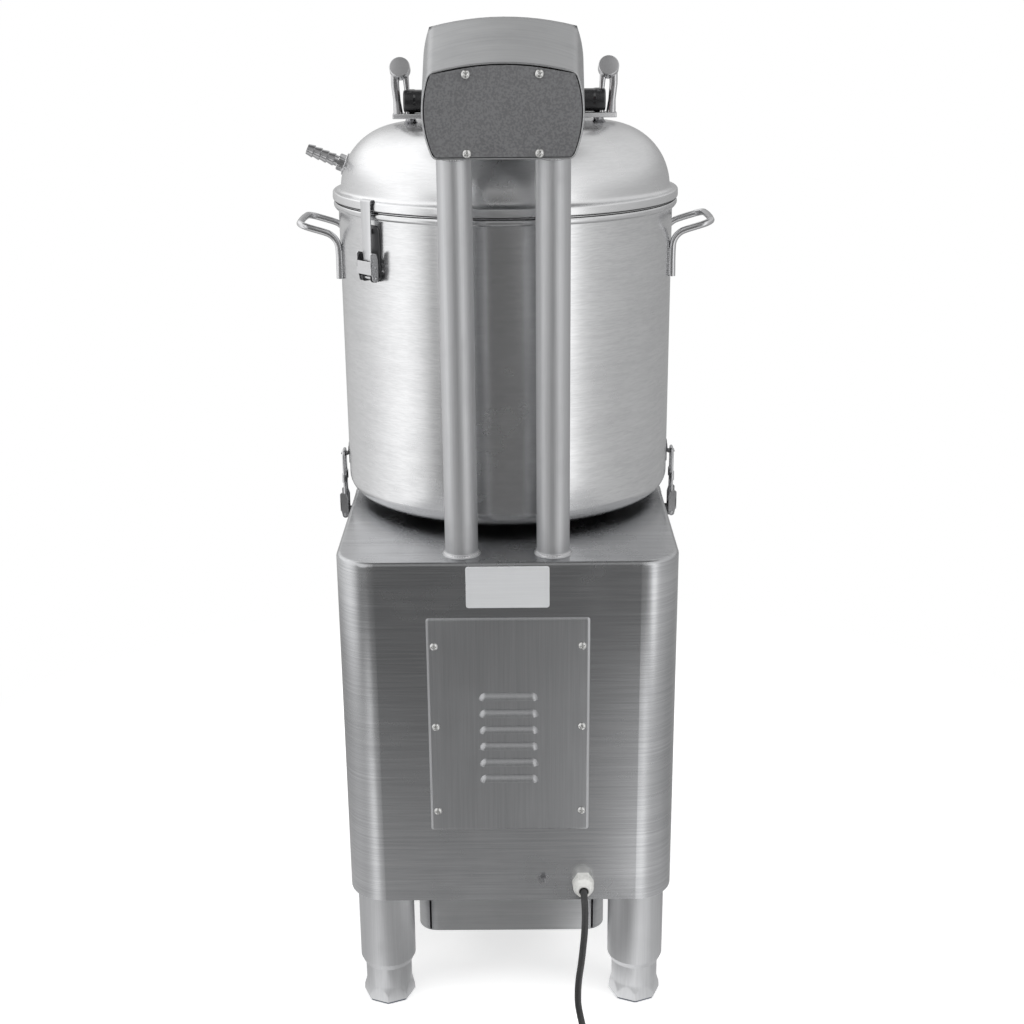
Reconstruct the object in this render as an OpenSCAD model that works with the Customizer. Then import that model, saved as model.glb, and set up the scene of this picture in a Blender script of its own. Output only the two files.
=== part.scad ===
/* [Cabinet] */
// Width of the cabinet, side to side
cabinet_w = 387; // [375:1:400]
// Depth of the cabinet, front to rear
cabinet_d = 502; // [490:1:520]
// Height of the cabinet's walls
cabinet_h = 429; // [415:1:450]
// Height of the cabinet's lower edge over the floor
cabinet_lift = 156; // [145:1:170]
// Distance from the drum's axis back to the rear face
rear_reach = 286.5; // [284:0.5:291]
// Radius of the upright corners
cabinet_corner_r = 45; // [35:1:50]
// Thickness of the sheet metal
sheet_t = 1.5; // [1:0.1:2]
// Height of the cabinet's floor plate over its lower edge
floor_inset = 2; // [1:0.5:4]
// Thickness of the floor plate
floor_t = 3; // [2:0.5:4]

/* [Rear panel] */
// Width of the rear access panel
panel_w = 184; // [170:1:195]
// Height of the rear access panel
panel_h = 268; // [255:1:280]
// Height of the panel's lower edge over the cabinet's lower edge
panel_lift = 95.5; // [90:0.5:105]
// Overlap of the panel on the opening behind it
panel_lap = 14; // [12:1:18]
// Distance from the panel's edge to its screws
panel_screw_inset = 8.5; // [7:0.5:10]
// Number of louvres
louvre_n = 6; // [3:1:6]
// Length of a louvre
louvre_len = 68; // [50:1:80]
// Half height of a louvre's hood
louvre_r = 6; // [4:0.5:7]
// Height of the lowest louvre over the panel's lower edge
louvre_lift = 67; // [60:1:75]
// Spacing of the louvres
louvre_pitch = 20.8; // [18:0.2:23]
// Diameter of a pan screw's head
screw_head_d = 9.5; // [8:0.5:10]
// Height of a pan screw's head
screw_head_h = 3; // [2:0.5:4]
// Diameter of a screw's thread
screw_d = 5; // [4:0.5:6]
// Width of the nameplate
nameplate_w = 93; // [80:1:100]
// Height of the nameplate
nameplate_h = 49; // [40:1:55]
// Thickness of the nameplate
nameplate_t = 0.8; // [0.5:0.1:1]
// Distance from the cabinet's top down to the nameplate
nameplate_drop = 4.5; // [4:0.5:8]

/* [Legs and feet] */
// Diameter of a leg
leg_d = 67; // [60:1:72]
// Distance of a leg's axis in from the cabinet's faces
leg_inset = 41.5; // [40:0.5:46]
// Wall of a leg
leg_wall = 2; // [1.5:0.5:3]
// Height of a leg's lower end over the floor
leg_lift = 50; // [45:1:60]
// Diameter of a foot's sleeve
foot_d = 56; // [50:1:58]
// Width of a foot's octagon at its widest
foot_octagon_d = 63; // [60:1:66]
// Height of the octagon's narrow end
foot_octagon_h = 25; // [20:1:30]
// Thickness of the foot's pad
foot_pad_t = 4; // [3:0.5:6]
// Diameter of the foot's threaded stem
stem_d = 20; // [16:1:24]
// How far a foot screws out
foot_travel = 20; // [10:1:25]

/* [Peel tray] */
// Gap from the tray to each leg
tray_gap = 1.5; // [1:0.5:4]
// Height of the tray's bottom over the floor
tray_lift = 57; // [55:1:65]
// Distance of the tray's back in from the rear face
tray_inset = 85; // [80:1:100]
// Wall of the tray
tray_t = 1.2; // [1:0.1:2]
// Width of the lip turned in along each side
tray_lip = 14; // [12:1:16]
// Radius of the tray's upright corners
tray_corner_r = 24; // [18:1:30]

/* [Drum] */
// Diameter of the drum
drum_d = 400; // [395:1:410]
// Wall of the drum
drum_t = 2; // [1.5:0.1:2.5]
// Gap between the cabinet's top and the drum's bottom
drum_gap = 8; // [6:0.5:10]
// Height of the drum up to its rim
drum_h = 356; // [345:1:365]
// Radius of the drum's lower edge
drum_edge_r = 18; // [12:1:22]
// Height of the rim's bead
rim_h = 9; // [8:0.5:10]
// How far the rim's bead stands out
rim_out = 5.5; // [4:0.5:7]
// Thickness of the abrasive lining
lining_t = 7; // [5:0.5:9]
// Height of the abrasive lining
lining_h = 240; // [225:1:245]

/* [Lid] */
// Height of the dome over its rim
dome_h = 78; // [74:1:82]
// Radius of the dome's shoulder
dome_shoulder_r = 74; // [70:1:76]
// Thickness of the lid's sheet
lid_t = 1.5; // [1:0.1:2]
// Height of the lid's bead
lid_rim_h = 10; // [8:0.5:12]
// Length of the handle's bar
bar_l = 264; // [256:1:270]
// Depth of the handle's bar
bar_d = 25; // [20:1:30]
// Thickness of the handle's bar
bar_t = 6; // [5:0.5:8]
// Gap between the dome's top and the bar
bar_gap = 2; // [1:0.5:4]
// Diameter of the black grip
grip_d = 27.5; // [25:0.5:30]
// Height of the loops over the bar
loop_h = 64; // [56:1:66]

/* [Rear posts and control box] */
// Diameter of a post
post_d = 37; // [34:1:40]
// Distance of each post from the middle
post_x = 51.3; // [48:0.1:55]
// Distance of the posts in from the rear face
post_inset = 32.4; // [30:0.1:36]
// Wall of a post
post_wall = 2; // [1.5:0.5:3]
// Height of the control box's lower rear edge over the cabinet's top
box_lift = 433.5; // [425:0.5:440]
// Half width of the box at its bottom
box_bottom_half = 72; // [68:0.5:76]
// How far the box's sides bulge
box_bulge = 10.5; // [8:0.5:12]
// Height of the box's widest place
box_bulge_h = 46.5; // [42:0.5:50]
// Height of the box's upper corners
box_side_h = 85.5; // [80:0.5:90]
// Rise of the box's arched top
box_arch = 10; // [6:0.5:12]
// Length of the box, rear to front
box_len = 150; // [140:1:155]
// Rise of the box towards the front
box_rise = 41.5; // [36:0.5:45]
// How much wider the box is at each side in front
box_flare = 5; // [3:0.5:6]
// Wall of the box
box_wall = 2; // [1.5:0.1:2.5]
// Distance of the box's rear plate in from the rear face
box_inset = 10; // [8:0.5:14]
// Thickness of the box's front panel
box_panel_t = 3; // [2:0.5:4]

/* [Drive] */
// Diameter of the main shaft
shaft_d = 25; // [20:1:30]
// Diameter of the shaft's pulley
pulley_d = 220; // [200:1:224]
// Diameter of the motor's pulley
motor_pulley_d = 60; // [56:1:66]
// Distance from the main shaft to the motor's shaft
motor_y = 165; // [160:1:170]
// Diameter of the motor
motor_d = 150; // [140:1:160]
// Length of the motor
motor_h = 200; // [180:1:220]
// Diameter of the motor's shaft
motor_shaft_d = 19; // [16:1:22]
// Diameter of the abrasive disc
disc_d = 370; // [360:1:374]
// Thickness of the abrasive disc
disc_t = 12; // [10:1:16]
// Height of the disc's three waves
wave_h = 14; // [8:1:18]

/* [Discharge] */
// Width of the discharge opening
chute_w = 130; // [120:1:140]
// Height of the discharge opening
chute_h = 110; // [100:1:115]
// Height of the opening over the drum's bottom
chute_lift = 97; // [92:1:105]
// Distance from the drum's axis to the chute's mouth
chute_reach = 262; // [255:1:266]
// Thickness of the door
door_t = 3; // [2:0.5:4]
// Thickness of the door's seal
seal_t = 4; // [3:0.5:5]

/* [Cord] */
// Diameter of the power cord
cord_d = 8; // [7:0.5:9]
// Place of the gland to the side of the middle
gland_x = 86; // [80:1:90]
// Height of the gland over the cabinet's lower edge
gland_lift = 25; // [22:1:28]
// Radius of the coil's outer turn
coil_r = 57; // [55:1:60]
// Step from one turn of the coil to the next
coil_pitch = 8.8; // [8.6:0.1:10]

/* [Clearances] */
// Clearance between surfaces that pass each other
clear = 0.3; // [0.2:0.05:0.5]
// Clearance of a running fit
fit = 0.05; // [0.02:0.01:0.1]

/* [Hidden] */
$fn = 64;
// Overrun of every cut past the face that it opens
over = 1;
// Thickness of the slabs that a hull joins
slab = 0.02;

// Cabinet
cab_top = cabinet_lift + cabinet_h;
cab_y = rear_reach - cabinet_d / 2;
cab_front = rear_reach - cabinet_d;
side_x = cabinet_w / 2;
// Radius of the bend round the cabinet's top
cab_edge_r = 5;
floor_z = cabinet_lift + floor_inset;
panel_z = cabinet_lift + panel_lift;
panel_face = rear_reach + sheet_t;
louvre_bore_r = louvre_r - sheet_t;
// How far the middle of a louvre's hood lies inside the panel's face
louvre_sink = 1.5;
screw_rows = [panel_screw_inset * 3, panel_h / 2, panel_h - panel_screw_inset * 4];
nameplate_z = cab_top - nameplate_drop - nameplate_h;
// Radius of the nameplate's corners
nameplate_r = 3;
// Place and sizes of the earth screw
earth_x = 39;
earth_d = 6;
earth_nut_d = 11;
earth_nut_h = 5;
earth_washer_d = 14;
earth_washer_t = 1.2;
earth_tip = 6;
gland_z = cabinet_lift + gland_lift;
earth_z = gland_z + earth_tip / 2;
// Sizes of the gland
gland_hex_d = 26;
gland_hex_h = 8;
gland_nut_d = 24;
gland_nut_h = 9;
gland_dome_d = 20;
gland_dome_h = 6;
gland_tip_share = 0.7;
gland_thread_d = 20;
gland_inside = 12;

// Legs and feet
leg_x = side_x - leg_inset;
leg_back = rear_reach - leg_inset;
leg_front = cab_front + leg_inset;
leg_places = [[leg_x, leg_back], [-leg_x, leg_back], [leg_x, leg_front], [-leg_x, leg_front]];
leg_h = floor_z - leg_lift;
// Height of the taper at a leg's lower end, and of the collar inside it
leg_taper_h = 8;
leg_collar_h = 26;
leg_nut_t = 8;
leg_nut_lift = 36;
// Shares of the foot's diameters that its pad and its octagon's top have
foot_pad_share = 0.94;
foot_neck_share = 0.99;
foot_sleeve_top = leg_lift + leg_collar_h;
stem_top = leg_lift + leg_nut_lift + leg_nut_t + foot_travel;

// Tray
tray_half = leg_x - leg_d / 2 - tray_gap;
tray_back = rear_reach - tray_inset;
tray_front = cab_front;
tray_top = floor_z - leg_collar_h / 2;
// Sizes of the rails and of the tray's pull
rail_t = 1.5;
rail_foot = 10;
rail_drop = tray_top - floor_z;
pull_w = 120;
pull_d = 22;
pull_h = 14;
tray_lip_z = tray_top - tray_t;

// Drum
drum_r = drum_d / 2;
drum_z = cab_top + drum_gap;
rim_z = drum_z + drum_h;
drum_floor = drum_z + drum_t;
lining_r = drum_r - drum_t;
lining_z = rim_z - rim_h * 5 - lining_h;
// Radius and width of the ring that the drum stands on
seat_r = 130;
seat_w = 12;
// Handles of the drum
handle_d = 8;
handle_half = 47;
handle_reach = 48;
handle_drop = 31;
handle_tail = 38;
handle_bend = 12;
// How far the handle's loop slopes down towards the drum
handle_slope = 14;
// Depth that a handle's rod bites into the drum's wall
weld_bite = handle_d / 12;
// Duct from the drum to the tray
duct_inset = 50.5;
duct_y = cab_front + duct_inset;
duct_d = 56;
duct_wall = 2;

// Lid
lid_seal_t = 1;
lid_z = rim_z + clear + lid_seal_t;
dome_z = lid_z + lid_rim_h;
dome_top = dome_z + dome_h;
// How many walls of the drum the dome's base lies inside the drum's outside
dome_base_share = 1.75;
dome_base_r = drum_r - dome_base_share * drum_t;
shoulder_x = dome_base_r - dome_shoulder_r;
shoulder_end = 84;
lid_rim_r = drum_r + rim_out + drum_t / 2;
bar_z = dome_top + bar_gap;
bar_top = bar_z + bar_t;
grip_r = grip_d / 2;
grip_z = bar_top + grip_r;
// Sizes of the loops at the ends of the grip
loop_head_d = 25;
loop_head_t = 9;
loop_foot_w = 13;
loop_leg_t = 7;
loop_slope = 32;
loop_x = bar_l / 2 - loop_foot_w / 2;
grip_half = loop_x - loop_foot_w / 2;
standoff_d = 12;
standoff_x = bar_l / 2 - 2 * standoff_d + standoff_d / 4;
// Water inlet
inlet_d = 13;
inlet_bore_d = 8;
inlet_len = 48;
inlet_rib_d = 15;
inlet_ribs = 4;
inlet_hex_d = 21;
inlet_hex_h = 9;
inlet_tilt = 22;
inlet_x = shoulder_x + dome_shoulder_r * cos(inlet_tilt);
inlet_z = dome_z + dome_shoulder_r * sin(inlet_tilt);

// Control box
box_y = rear_reach - box_inset;
box_front = box_y - box_len;
box_z = cab_top + box_lift;
post_y = rear_reach - post_inset;
post_top = box_z + box_rise * (post_inset - box_inset + post_d / 2) / box_len + box_wall;
collar_h = 4;
collar_w = 3;
plate_gap = 0.8;
plate_screw_x = 37;
plate_screw_low = 6.5;
plate_screw_high = 84;
panel_mid = box_z + box_rise + (box_side_h + box_arch) / 2;
panel_front = box_front - box_panel_t;
knob_x = 45;
knob_d = 38;
knob_h = 17;
// Shares of the knob's diameter that its cap and its grip bar have
knob_cap_share = 0.84;
knob_grip_share = 0.8;
spindle_d = 6;
timer_w = 46;
timer_h = 32;
button_x = 0;
button_d = 20;
button_travel = 3;
button_rise = 20;
bezel_d = 28;
bezel_h = 4;
bezel_body_h = 26;
stop_x = -45;
mushroom_d = 36;
mushroom_h = 11;
mushroom_travel = 4;
mushroom_stem_d = 16;

// Drive
pulley_z = 240;
pulley_h = 30;
hub_d = 60;
belt_z = pulley_z + pulley_h / 2;
belt_w = 12;
belt_h = 8;
belt_taper = 2;
groove_d = 9;
bracket_z = 277;
bracket_t = 8;
bracket_half_y = 75;
bracket_flange = 40;
motor_z = bracket_z + bracket_t;
motor_cap_h = 14;
motor_fin_n = 24;
motor_fin_h = 5;
housing_z = 430;
housing_d = 90;
housing_flange_d = 140;
housing_flange_t = 8;
housing_top = cab_top - sheet_t;
neck_d = 56;
// Height of the housing's neck over the drum's floor
neck_rise = 9;
neck_top = drum_floor + neck_rise;
bearing_d = 52;
bearing_h = 15;
seal_h = 5;
// How far both shafts stand out below their pulleys
shaft_end = 6;
shaft_bottom = pulley_z - shaft_end;
// Height of the disc over the seal
disc_lift = 27;
disc_z = neck_top + seal_h + disc_lift;
shaft_top = disc_z + disc_t;
disc_hub_d = 46;
vane_t = 4;
nut_d = 40;
nut_h = 20;
// Share of the nut's width that its dome has
nut_dome_share = 0.84;
bolt_d = 8;
bolt_head_d = 13;
bolt_head_h = 5;
bolt_ring = 58;
motor_bolt_ring = 65;
bolt_len = 14;

// Discharge
chute_z = drum_floor + chute_lift - drum_t;
chute_t = 2;
mouth_y = -chute_reach;
// Where the chute's tunnel begins inside the drum's wall
chute_root_share = 0.9;
door_back = mouth_y - clear - seal_t;
door_front = door_back - door_t;
door_margin = 8;
door_half = chute_w / 2 + chute_t + door_margin;
door_low = chute_z - chute_t - door_margin;
door_high = chute_z + chute_h + chute_t - clear;
hinge_r = 6;
hinge_pin_d = 6;
// Share of the clearance that the hinge stands in front of the door
hinge_gap_share = 0.7;
hinge_y = door_front - hinge_gap_share * clear;
// Height of the hinge over the chute
hinge_rise = 14;
hinge_z = chute_z + chute_h + chute_t + hinge_rise;
lug_half = 15;
knuckle_w = 14;
seal_w = 9;
door_mid = chute_z + chute_h / 2;
door_hub_d = 24;
door_hub_h = 14;
door_grip_l = 92;
door_grip_d = 11;

// Latches
lid_latch_turns = [42, 222];
// Drop of the lid latch's pin below the drum's rim
lid_pin_drop = 73;
lid_pin_z = rim_z - lid_pin_drop;
latch_w = 24;
latch_plate_t = 1.5;
latch_pin_d = 4;
latch_pin_out = 8;
latch_arm = 12;
latch_ear = 5;
lever_len = 29;
lever_t = 1.5;
strap_w = 18;
strap_t = 1.2;
strap_pin_d = 3.5;
claw_gap = 1.5;
claw_lap = 4;
lid_pin_u = drum_r + latch_pin_out;
// Gap between the lid's bead and the strap
strap_gap = 2;
strap_u = lid_rim_r + strap_gap;
base_latch_turns = [0, 180];
// Drop of the base latch's pin below the cabinet's top
base_pin_drop = 35;
base_pin_z = cab_top - base_pin_drop;
base_pin_u = drum_r + latch_pin_out;
bail_d = 4;
bail_half = 10;
bail_h = 70;
// Share of the bail's diameter that its turned ends have
bail_arm_share = 0.8;
keeper_w = 14;
keeper_z = base_pin_z + latch_arm + bail_h - bail_d / 2 - clear;
keeper_t = 3;

// Cord
turns_in = 2.25;
turns_back = 0.5;
turns_out = 2.25;
cord_r = cord_d / 2;
// Gap between the coil's two layers
layer_gap = 0.6;
layer_step = cord_d + layer_gap;
coil_enter = -150;
coil_rings = 24;
coil_x = -52.6;
coil_y = 407;
tail_l = 48;
// Points of the cord's route from the gland to the coil
cord_route = [
    [-86, 309.5, 181], [-86, 318, 181], [-86.3, 326, 177.5], [-86.6, 331, 169], [-86.6, 333, 157], [-86,
        333, 140],
    [-84.5, 332.5, 120], [-82.5, 332, 98], [-80, 331, 76], [-79, 330.5, 56], [-79.5, 331, 40], [-82,
        334.5, 26],
    [-85, 342, 15], [-87.5, 350, 8], [-91, 358.5, 4.6], [-94, 364.6, 4]
];
plug_relief_l = 28;
// Shares that the relief's thin end has of the cord, and the plug's waist of its face
relief_share = 1.2;
plug_waist_share = 0.9;
plug_relief_d = 13;
plug_back_d = 22;
plug_back_l = 20;
plug_d = 37;
plug_face_l = 18;
pin_d = 4.8;
pin_l = 19;
pin_gap = 19;

function blend(t) = t <= 0 ? 0 : t >= 1 ? 1 : t * t * (3 - 2 * t);
function unit(v) = v / norm(v);

module rounded_rect(w, d, r) {
    square([w - 2 * r, d], center = true);
    square([w, d - 2 * r], center = true);
    for (x = [-1, 1], y = [-1, 1])
        translate([x * (w / 2 - r), y * (d / 2 - r)]) circle(r);
}

// Upright block with round corners and a bend of radius e round its top
module bent_block(w, d, h, r, e) {
    linear_extrude(h - e) rounded_rect(w, d, r);
    linear_extrude(h) rounded_rect(w - 2 * e, d - 2 * e, r - e);
    for (x = [-1, 1], y = [-1, 1])
        translate([x * (w / 2 - r), y * (d / 2 - r), h - e]) rotate_extrude() {
            translate([r - e, 0]) intersection() {
                circle(e);
                square(e);
            }
            square([r - e, e]);
        }
    for (x = [-1, 1])
        translate([x * (w / 2 - e), 0, h - e]) rotate([90, 0, 0])
            cylinder(r = e, h = d - 2 * r, center = true);
    for (y = [-1, 1])
        translate([0, y * (d / 2 - e), h - e]) rotate([0, 90, 0])
            cylinder(r = e, h = w - 2 * r, center = true);
}

module tube_ring(r_out, r_in, h) {
    rotate_extrude() translate([r_in, 0]) square([r_out - r_in, h]);
}

// Pan screw along +Y with its head's seat at the origin
module pan_screw(length) {
    rotate([-90, 0, 0]) {
        rotate_extrude() intersection() {
            translate([0, screw_head_h - screw_head_d]) circle(screw_head_d);
            square([screw_head_d / 2, screw_head_h]);
        }
        translate([0, 0, -length]) cylinder(d = screw_d, h = length);
    }
}

module cabinet_shell() {
    color("silver") difference() {
        translate([0, cab_y, cabinet_lift])
            bent_block(cabinet_w, cabinet_d, cabinet_h, cabinet_corner_r, cab_edge_r);
        translate([0, cab_y, cabinet_lift - over])
            bent_block(cabinet_w - 2 * sheet_t, cabinet_d - 2 * sheet_t, cabinet_h - sheet_t + over,
                cabinet_corner_r - sheet_t, cab_edge_r - sheet_t);
        translate([-panel_w / 2 + panel_lap, rear_reach - 2 * sheet_t, panel_z + panel_lap])
            cube([panel_w - 2 * panel_lap, 4 * sheet_t, panel_h - 2 * panel_lap]);
        for (x = [-1, 1], z = screw_rows)
            translate([x * (panel_w / 2 - panel_screw_inset), rear_reach - 2 * sheet_t, panel_z + z])
                rotate([-90, 0, 0]) cylinder(d = screw_d, h = 4 * sheet_t);
        translate([-gland_x, rear_reach - 2 * sheet_t, gland_z])
            rotate([-90, 0, 0]) cylinder(d = gland_thread_d, h = 4 * sheet_t);
        translate([-earth_x, rear_reach - 2 * sheet_t, earth_z])
            rotate([-90, 0, 0]) cylinder(d = earth_d, h = 4 * sheet_t);
        translate([0, 0, cab_top - 2 * sheet_t]) cylinder(d = neck_d, h = 4 * sheet_t);
        translate([0, duct_y, cab_top - 2 * sheet_t]) cylinder(d = duct_d, h = 4 * sheet_t);
        for (a = [45:90:315])
            rotate([0, 0, a]) translate([bolt_ring, 0, cab_top - 2 * sheet_t])
                cylinder(d = bolt_d, h = 4 * sheet_t);
    }
}

module cabinet_floor() {
    color("silver") {
        difference() {
            translate([0, cab_y, floor_z])
                linear_extrude(floor_t)
                    rounded_rect(cabinet_w - 2 * sheet_t, cabinet_d - 2 * sheet_t,
                        cabinet_corner_r - sheet_t);
            translate([0, duct_y, floor_z - over]) cylinder(d = duct_d, h = floor_t + 2 * over);
        }
        for (x = [-1, 1])
            translate([x * (tray_half - tray_lip - rail_t), 0, 0]) {
                translate([-rail_t / 2, tray_front + tray_corner_r,
                    floor_z + rail_drop - tray_t - clear - rail_t])
                    cube([rail_t, tray_back - tray_front - 2 * tray_corner_r,
                        tray_t + clear + rail_t - rail_drop]);
                translate([x > 0 ? -rail_t / 2 : rail_t / 2 - rail_foot, tray_front + tray_corner_r,
                    floor_z + rail_drop - tray_t - clear - rail_t])
                    cube([rail_foot, tray_back - tray_front - 2 * tray_corner_r, rail_t]);
            }
    }
}

module louvre(r, length) {
    rotate([0, 90, 0]) cylinder(r = r, h = length, center = true);
    for (x = [-1, 1]) translate([x * length / 2, 0, 0]) sphere(r);
}

module rear_access_panel() {
    run = louvre_len - 2 * louvre_r;
    color("gray") difference() {
        union() {
            translate([-panel_w / 2, rear_reach, panel_z]) cube([panel_w, sheet_t, panel_h]);
            for (i = [0:louvre_n - 1])
                translate([0, panel_face - louvre_sink, panel_z + louvre_lift + i * louvre_pitch])
                    intersection() {
                        louvre(louvre_r, run);
                        translate([-louvre_len, 0, -louvre_r / 2])
                            cube([2 * louvre_len, 2 * louvre_r, 2 * louvre_r]);
                    }
        }
        for (i = [0:louvre_n - 1])
            translate([0, panel_face - louvre_sink, panel_z + louvre_lift + i * louvre_pitch]) {
                louvre(louvre_bore_r, run);
            }
        for (x = [-1, 1], z = screw_rows)
            translate([x * (panel_w / 2 - panel_screw_inset), rear_reach - over, panel_z + z])
                rotate([-90, 0, 0]) cylinder(d = screw_d, h = sheet_t + 2 * over);
    }
}

module nameplate() {
    color("lightgray")
        translate([0, rear_reach, nameplate_z + nameplate_h / 2])
            rotate([-90, 0, 0]) linear_extrude(nameplate_t)
                rounded_rect(nameplate_w, nameplate_h, nameplate_r);
}

module pan_screws() {
    color("white") {
        for (x = [-1, 1], z = screw_rows)
            translate([x * (panel_w / 2 - panel_screw_inset), panel_face, panel_z + z])
                pan_screw(4 * sheet_t);
        for (x = [-1, 1], z = [plate_screw_low, plate_screw_high])
            translate([x * plate_screw_x, box_y, box_z + z]) pan_screw(4 * sheet_t);
    }
}

module earth_screw() {
    color("silver") translate([-earth_x, rear_reach, earth_z]) rotate([-90, 0, 0]) {
        translate([0, 0, -earth_tip - sheet_t])
            cylinder(d = earth_d, h = earth_tip * 2 + earth_nut_h + sheet_t);
        cylinder(d = earth_washer_d, h = earth_washer_t);
        translate([0, 0, earth_washer_t]) cylinder(d = earth_nut_d, h = earth_nut_h, $fn = 6);
        translate([0, 0, -sheet_t - earth_nut_h]) cylinder(d = earth_nut_d, h = earth_nut_h, $fn = 6);
    }
}

module cable_gland() {
    color("white") translate([-gland_x, rear_reach, gland_z]) rotate([-90, 0, 0]) {
        translate([0, 0, -gland_inside]) cylinder(d = gland_thread_d, h = gland_inside);
        translate([0, 0, -sheet_t - earth_nut_h]) cylinder(d = gland_hex_d, h = earth_nut_h, $fn = 6);
        cylinder(d = gland_hex_d, h = gland_hex_h, $fn = 6);
        translate([0, 0, gland_hex_h]) cylinder(d = gland_nut_d, h = gland_nut_h, $fn = 12);
        translate([0, 0, gland_hex_h + gland_nut_h])
            cylinder(d1 = gland_dome_d, d2 = gland_dome_d * gland_tip_share, h = gland_dome_h);
    }
}

module legs() {
    r = leg_d / 2;
    inner = foot_d / 2 + fit;
    color("silver") for (p = leg_places)
        translate([p[0], p[1], leg_lift]) rotate_extrude() polygon([
            [inner, 0], [r - (r - inner) * 2 / 3, 0], [r, leg_taper_h], [r, leg_h], [r - leg_wall, leg_h],
            [r - leg_wall, leg_nut_lift + leg_nut_t], [stem_d / 2 + fit, leg_nut_lift + leg_nut_t],
            [stem_d / 2 + fit, leg_nut_lift], [r - leg_wall, leg_nut_lift], [r - leg_wall, leg_collar_h],
            [inner, leg_collar_h]
        ]);
}

module foot(i) {
    color("gray") translate([leg_places[i][0], leg_places[i][1], 0]) {
        cylinder(d = foot_octagon_d * foot_pad_share, h = foot_pad_t, $fn = 8);
        translate([0, 0, foot_pad_t])
            cylinder(d1 = foot_octagon_d, d2 = foot_d * foot_neck_share, h = foot_octagon_h - foot_pad_t,
                $fn = 8);
        translate([0, 0, foot_octagon_h]) cylinder(d = foot_d, h = foot_sleeve_top - foot_octagon_h);
        translate([0, 0, foot_sleeve_top]) cylinder(d = stem_d, h = stem_top - foot_sleeve_top);
    }
}
module foot_1() { foot(0); }
module foot_2() { foot(1); }
module foot_3() { foot(2); }
module foot_4() { foot(3); }

module peel_tray() {
    w = 2 * tray_half;
    d = tray_back - tray_front;
    inner_w = w - 2 * tray_t;
    inner_d = d - 2 * tray_t;
    rail_low = tray_top - 2 * tray_t - 2 * clear - rail_t;
    color("silver") translate([0, (tray_back + tray_front) / 2, 0]) difference() {
        union() {
            translate([0, 0, tray_lift]) linear_extrude(tray_top - tray_lift)
                rounded_rect(w, d, tray_corner_r);
            translate([-pull_w / 2, -d / 2 - pull_d, tray_top - pull_h])
                cube([pull_w, pull_d + tray_corner_r, tray_t]);
            translate([-pull_w / 2, -d / 2 - pull_d, tray_top - 2 * pull_h])
                cube([pull_w, tray_t, pull_h]);
        }
        translate([0, 0, tray_lift + tray_t])
            linear_extrude(tray_lip_z - tray_lift - tray_t)
                rounded_rect(inner_w, inner_d, tray_corner_r - tray_t);
        translate([-tray_half + tray_lip, -d / 2 + tray_t, tray_lift + tray_t])
            cube([2 * (tray_half - tray_lip), inner_d, tray_top]);
        translate([-tray_half + tray_t, d / 2 - tray_corner_r, rail_low])
            cube([inner_w, 2 * tray_corner_r, tray_top]);
    }
}

module drain_duct() {
    color("silver") translate([0, duct_y, 0]) {
        translate([0, 0, floor_z - pull_h])
            tube_ring(duct_d / 2, duct_d / 2 - duct_wall, drum_z - floor_z + pull_h);
        translate([0, 0, cab_top]) tube_ring(duct_d / 2 + duct_wall * 2, duct_d / 2, drum_gap);
    }
}

module motor_bracket() {
    half = side_x - sheet_t;
    color("dimgray") difference() {
        union() {
            translate([-half, motor_y - bracket_half_y, bracket_z])
                cube([2 * half, 2 * bracket_half_y, bracket_t]);
            for (x = [-1, 1])
                translate([x > 0 ? half - bracket_t : -half, motor_y - bracket_half_y, bracket_z])
                    cube([bracket_t, 2 * bracket_half_y, bracket_flange]);
        }
        translate([0, motor_y, bracket_z - over]) cylinder(d = hub_d, h = bracket_t + 2 * over);
        for (a = [45:90:315])
            translate([0, motor_y, bracket_z - over]) rotate([0, 0, a]) translate([motor_bolt_ring, 0, 0])
                cylinder(d = bolt_d, h = bracket_t + 2 * over);
    }
}

module motor_housing() {
    color("slategray") translate([0, motor_y, motor_z]) difference() {
        union() {
            cylinder(d = motor_d, h = motor_cap_h);
            cylinder(d = motor_d - 2 * motor_fin_h, h = motor_h);
            translate([0, 0, motor_h - 2 * motor_cap_h]) cylinder(d = motor_d, h = 2 * motor_cap_h);
            for (i = [0:motor_fin_n - 1])
                rotate([0, 0, i * 360 / motor_fin_n])
                    translate([motor_d / 2 - 2 * motor_fin_h, -motor_fin_h / 4, 0])
                    cube([2 * motor_fin_h, motor_fin_h / 2, motor_h - motor_cap_h]);
        }
        translate([0, 0, -over])
            cylinder(d = motor_shaft_d + 2 * fit, h = motor_h - 2 * motor_cap_h + over);
        for (a = [45:90:315])
            rotate([0, 0, a]) translate([motor_bolt_ring, 0, -over])
                cylinder(d = bolt_d, h = bolt_len + over);
    }
}

// Hexagon bolt pointing up, with its head's seat at the origin
module hex_bolt(length) {
    translate([0, 0, -bolt_head_h]) cylinder(d = bolt_head_d, h = bolt_head_h, $fn = 6);
    cylinder(d = bolt_d, h = length);
}

module drive_bolts() {
    color("silver") for (a = [45:90:315]) {
        translate([0, motor_y, bracket_z]) rotate([0, 0, a]) translate([motor_bolt_ring, 0, 0])
            hex_bolt(bracket_t + bolt_len);
        rotate([0, 0, a]) translate([bolt_ring, 0, housing_top - housing_flange_t])
            hex_bolt(housing_flange_t + sheet_t + drum_gap / 2);
    }
}

module motor_shaft() {
    color("silver") translate([0, motor_y, shaft_bottom])
        cylinder(d = motor_shaft_d, h = motor_z + motor_h - 2 * motor_cap_h - shaft_bottom - clear);
}

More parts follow.
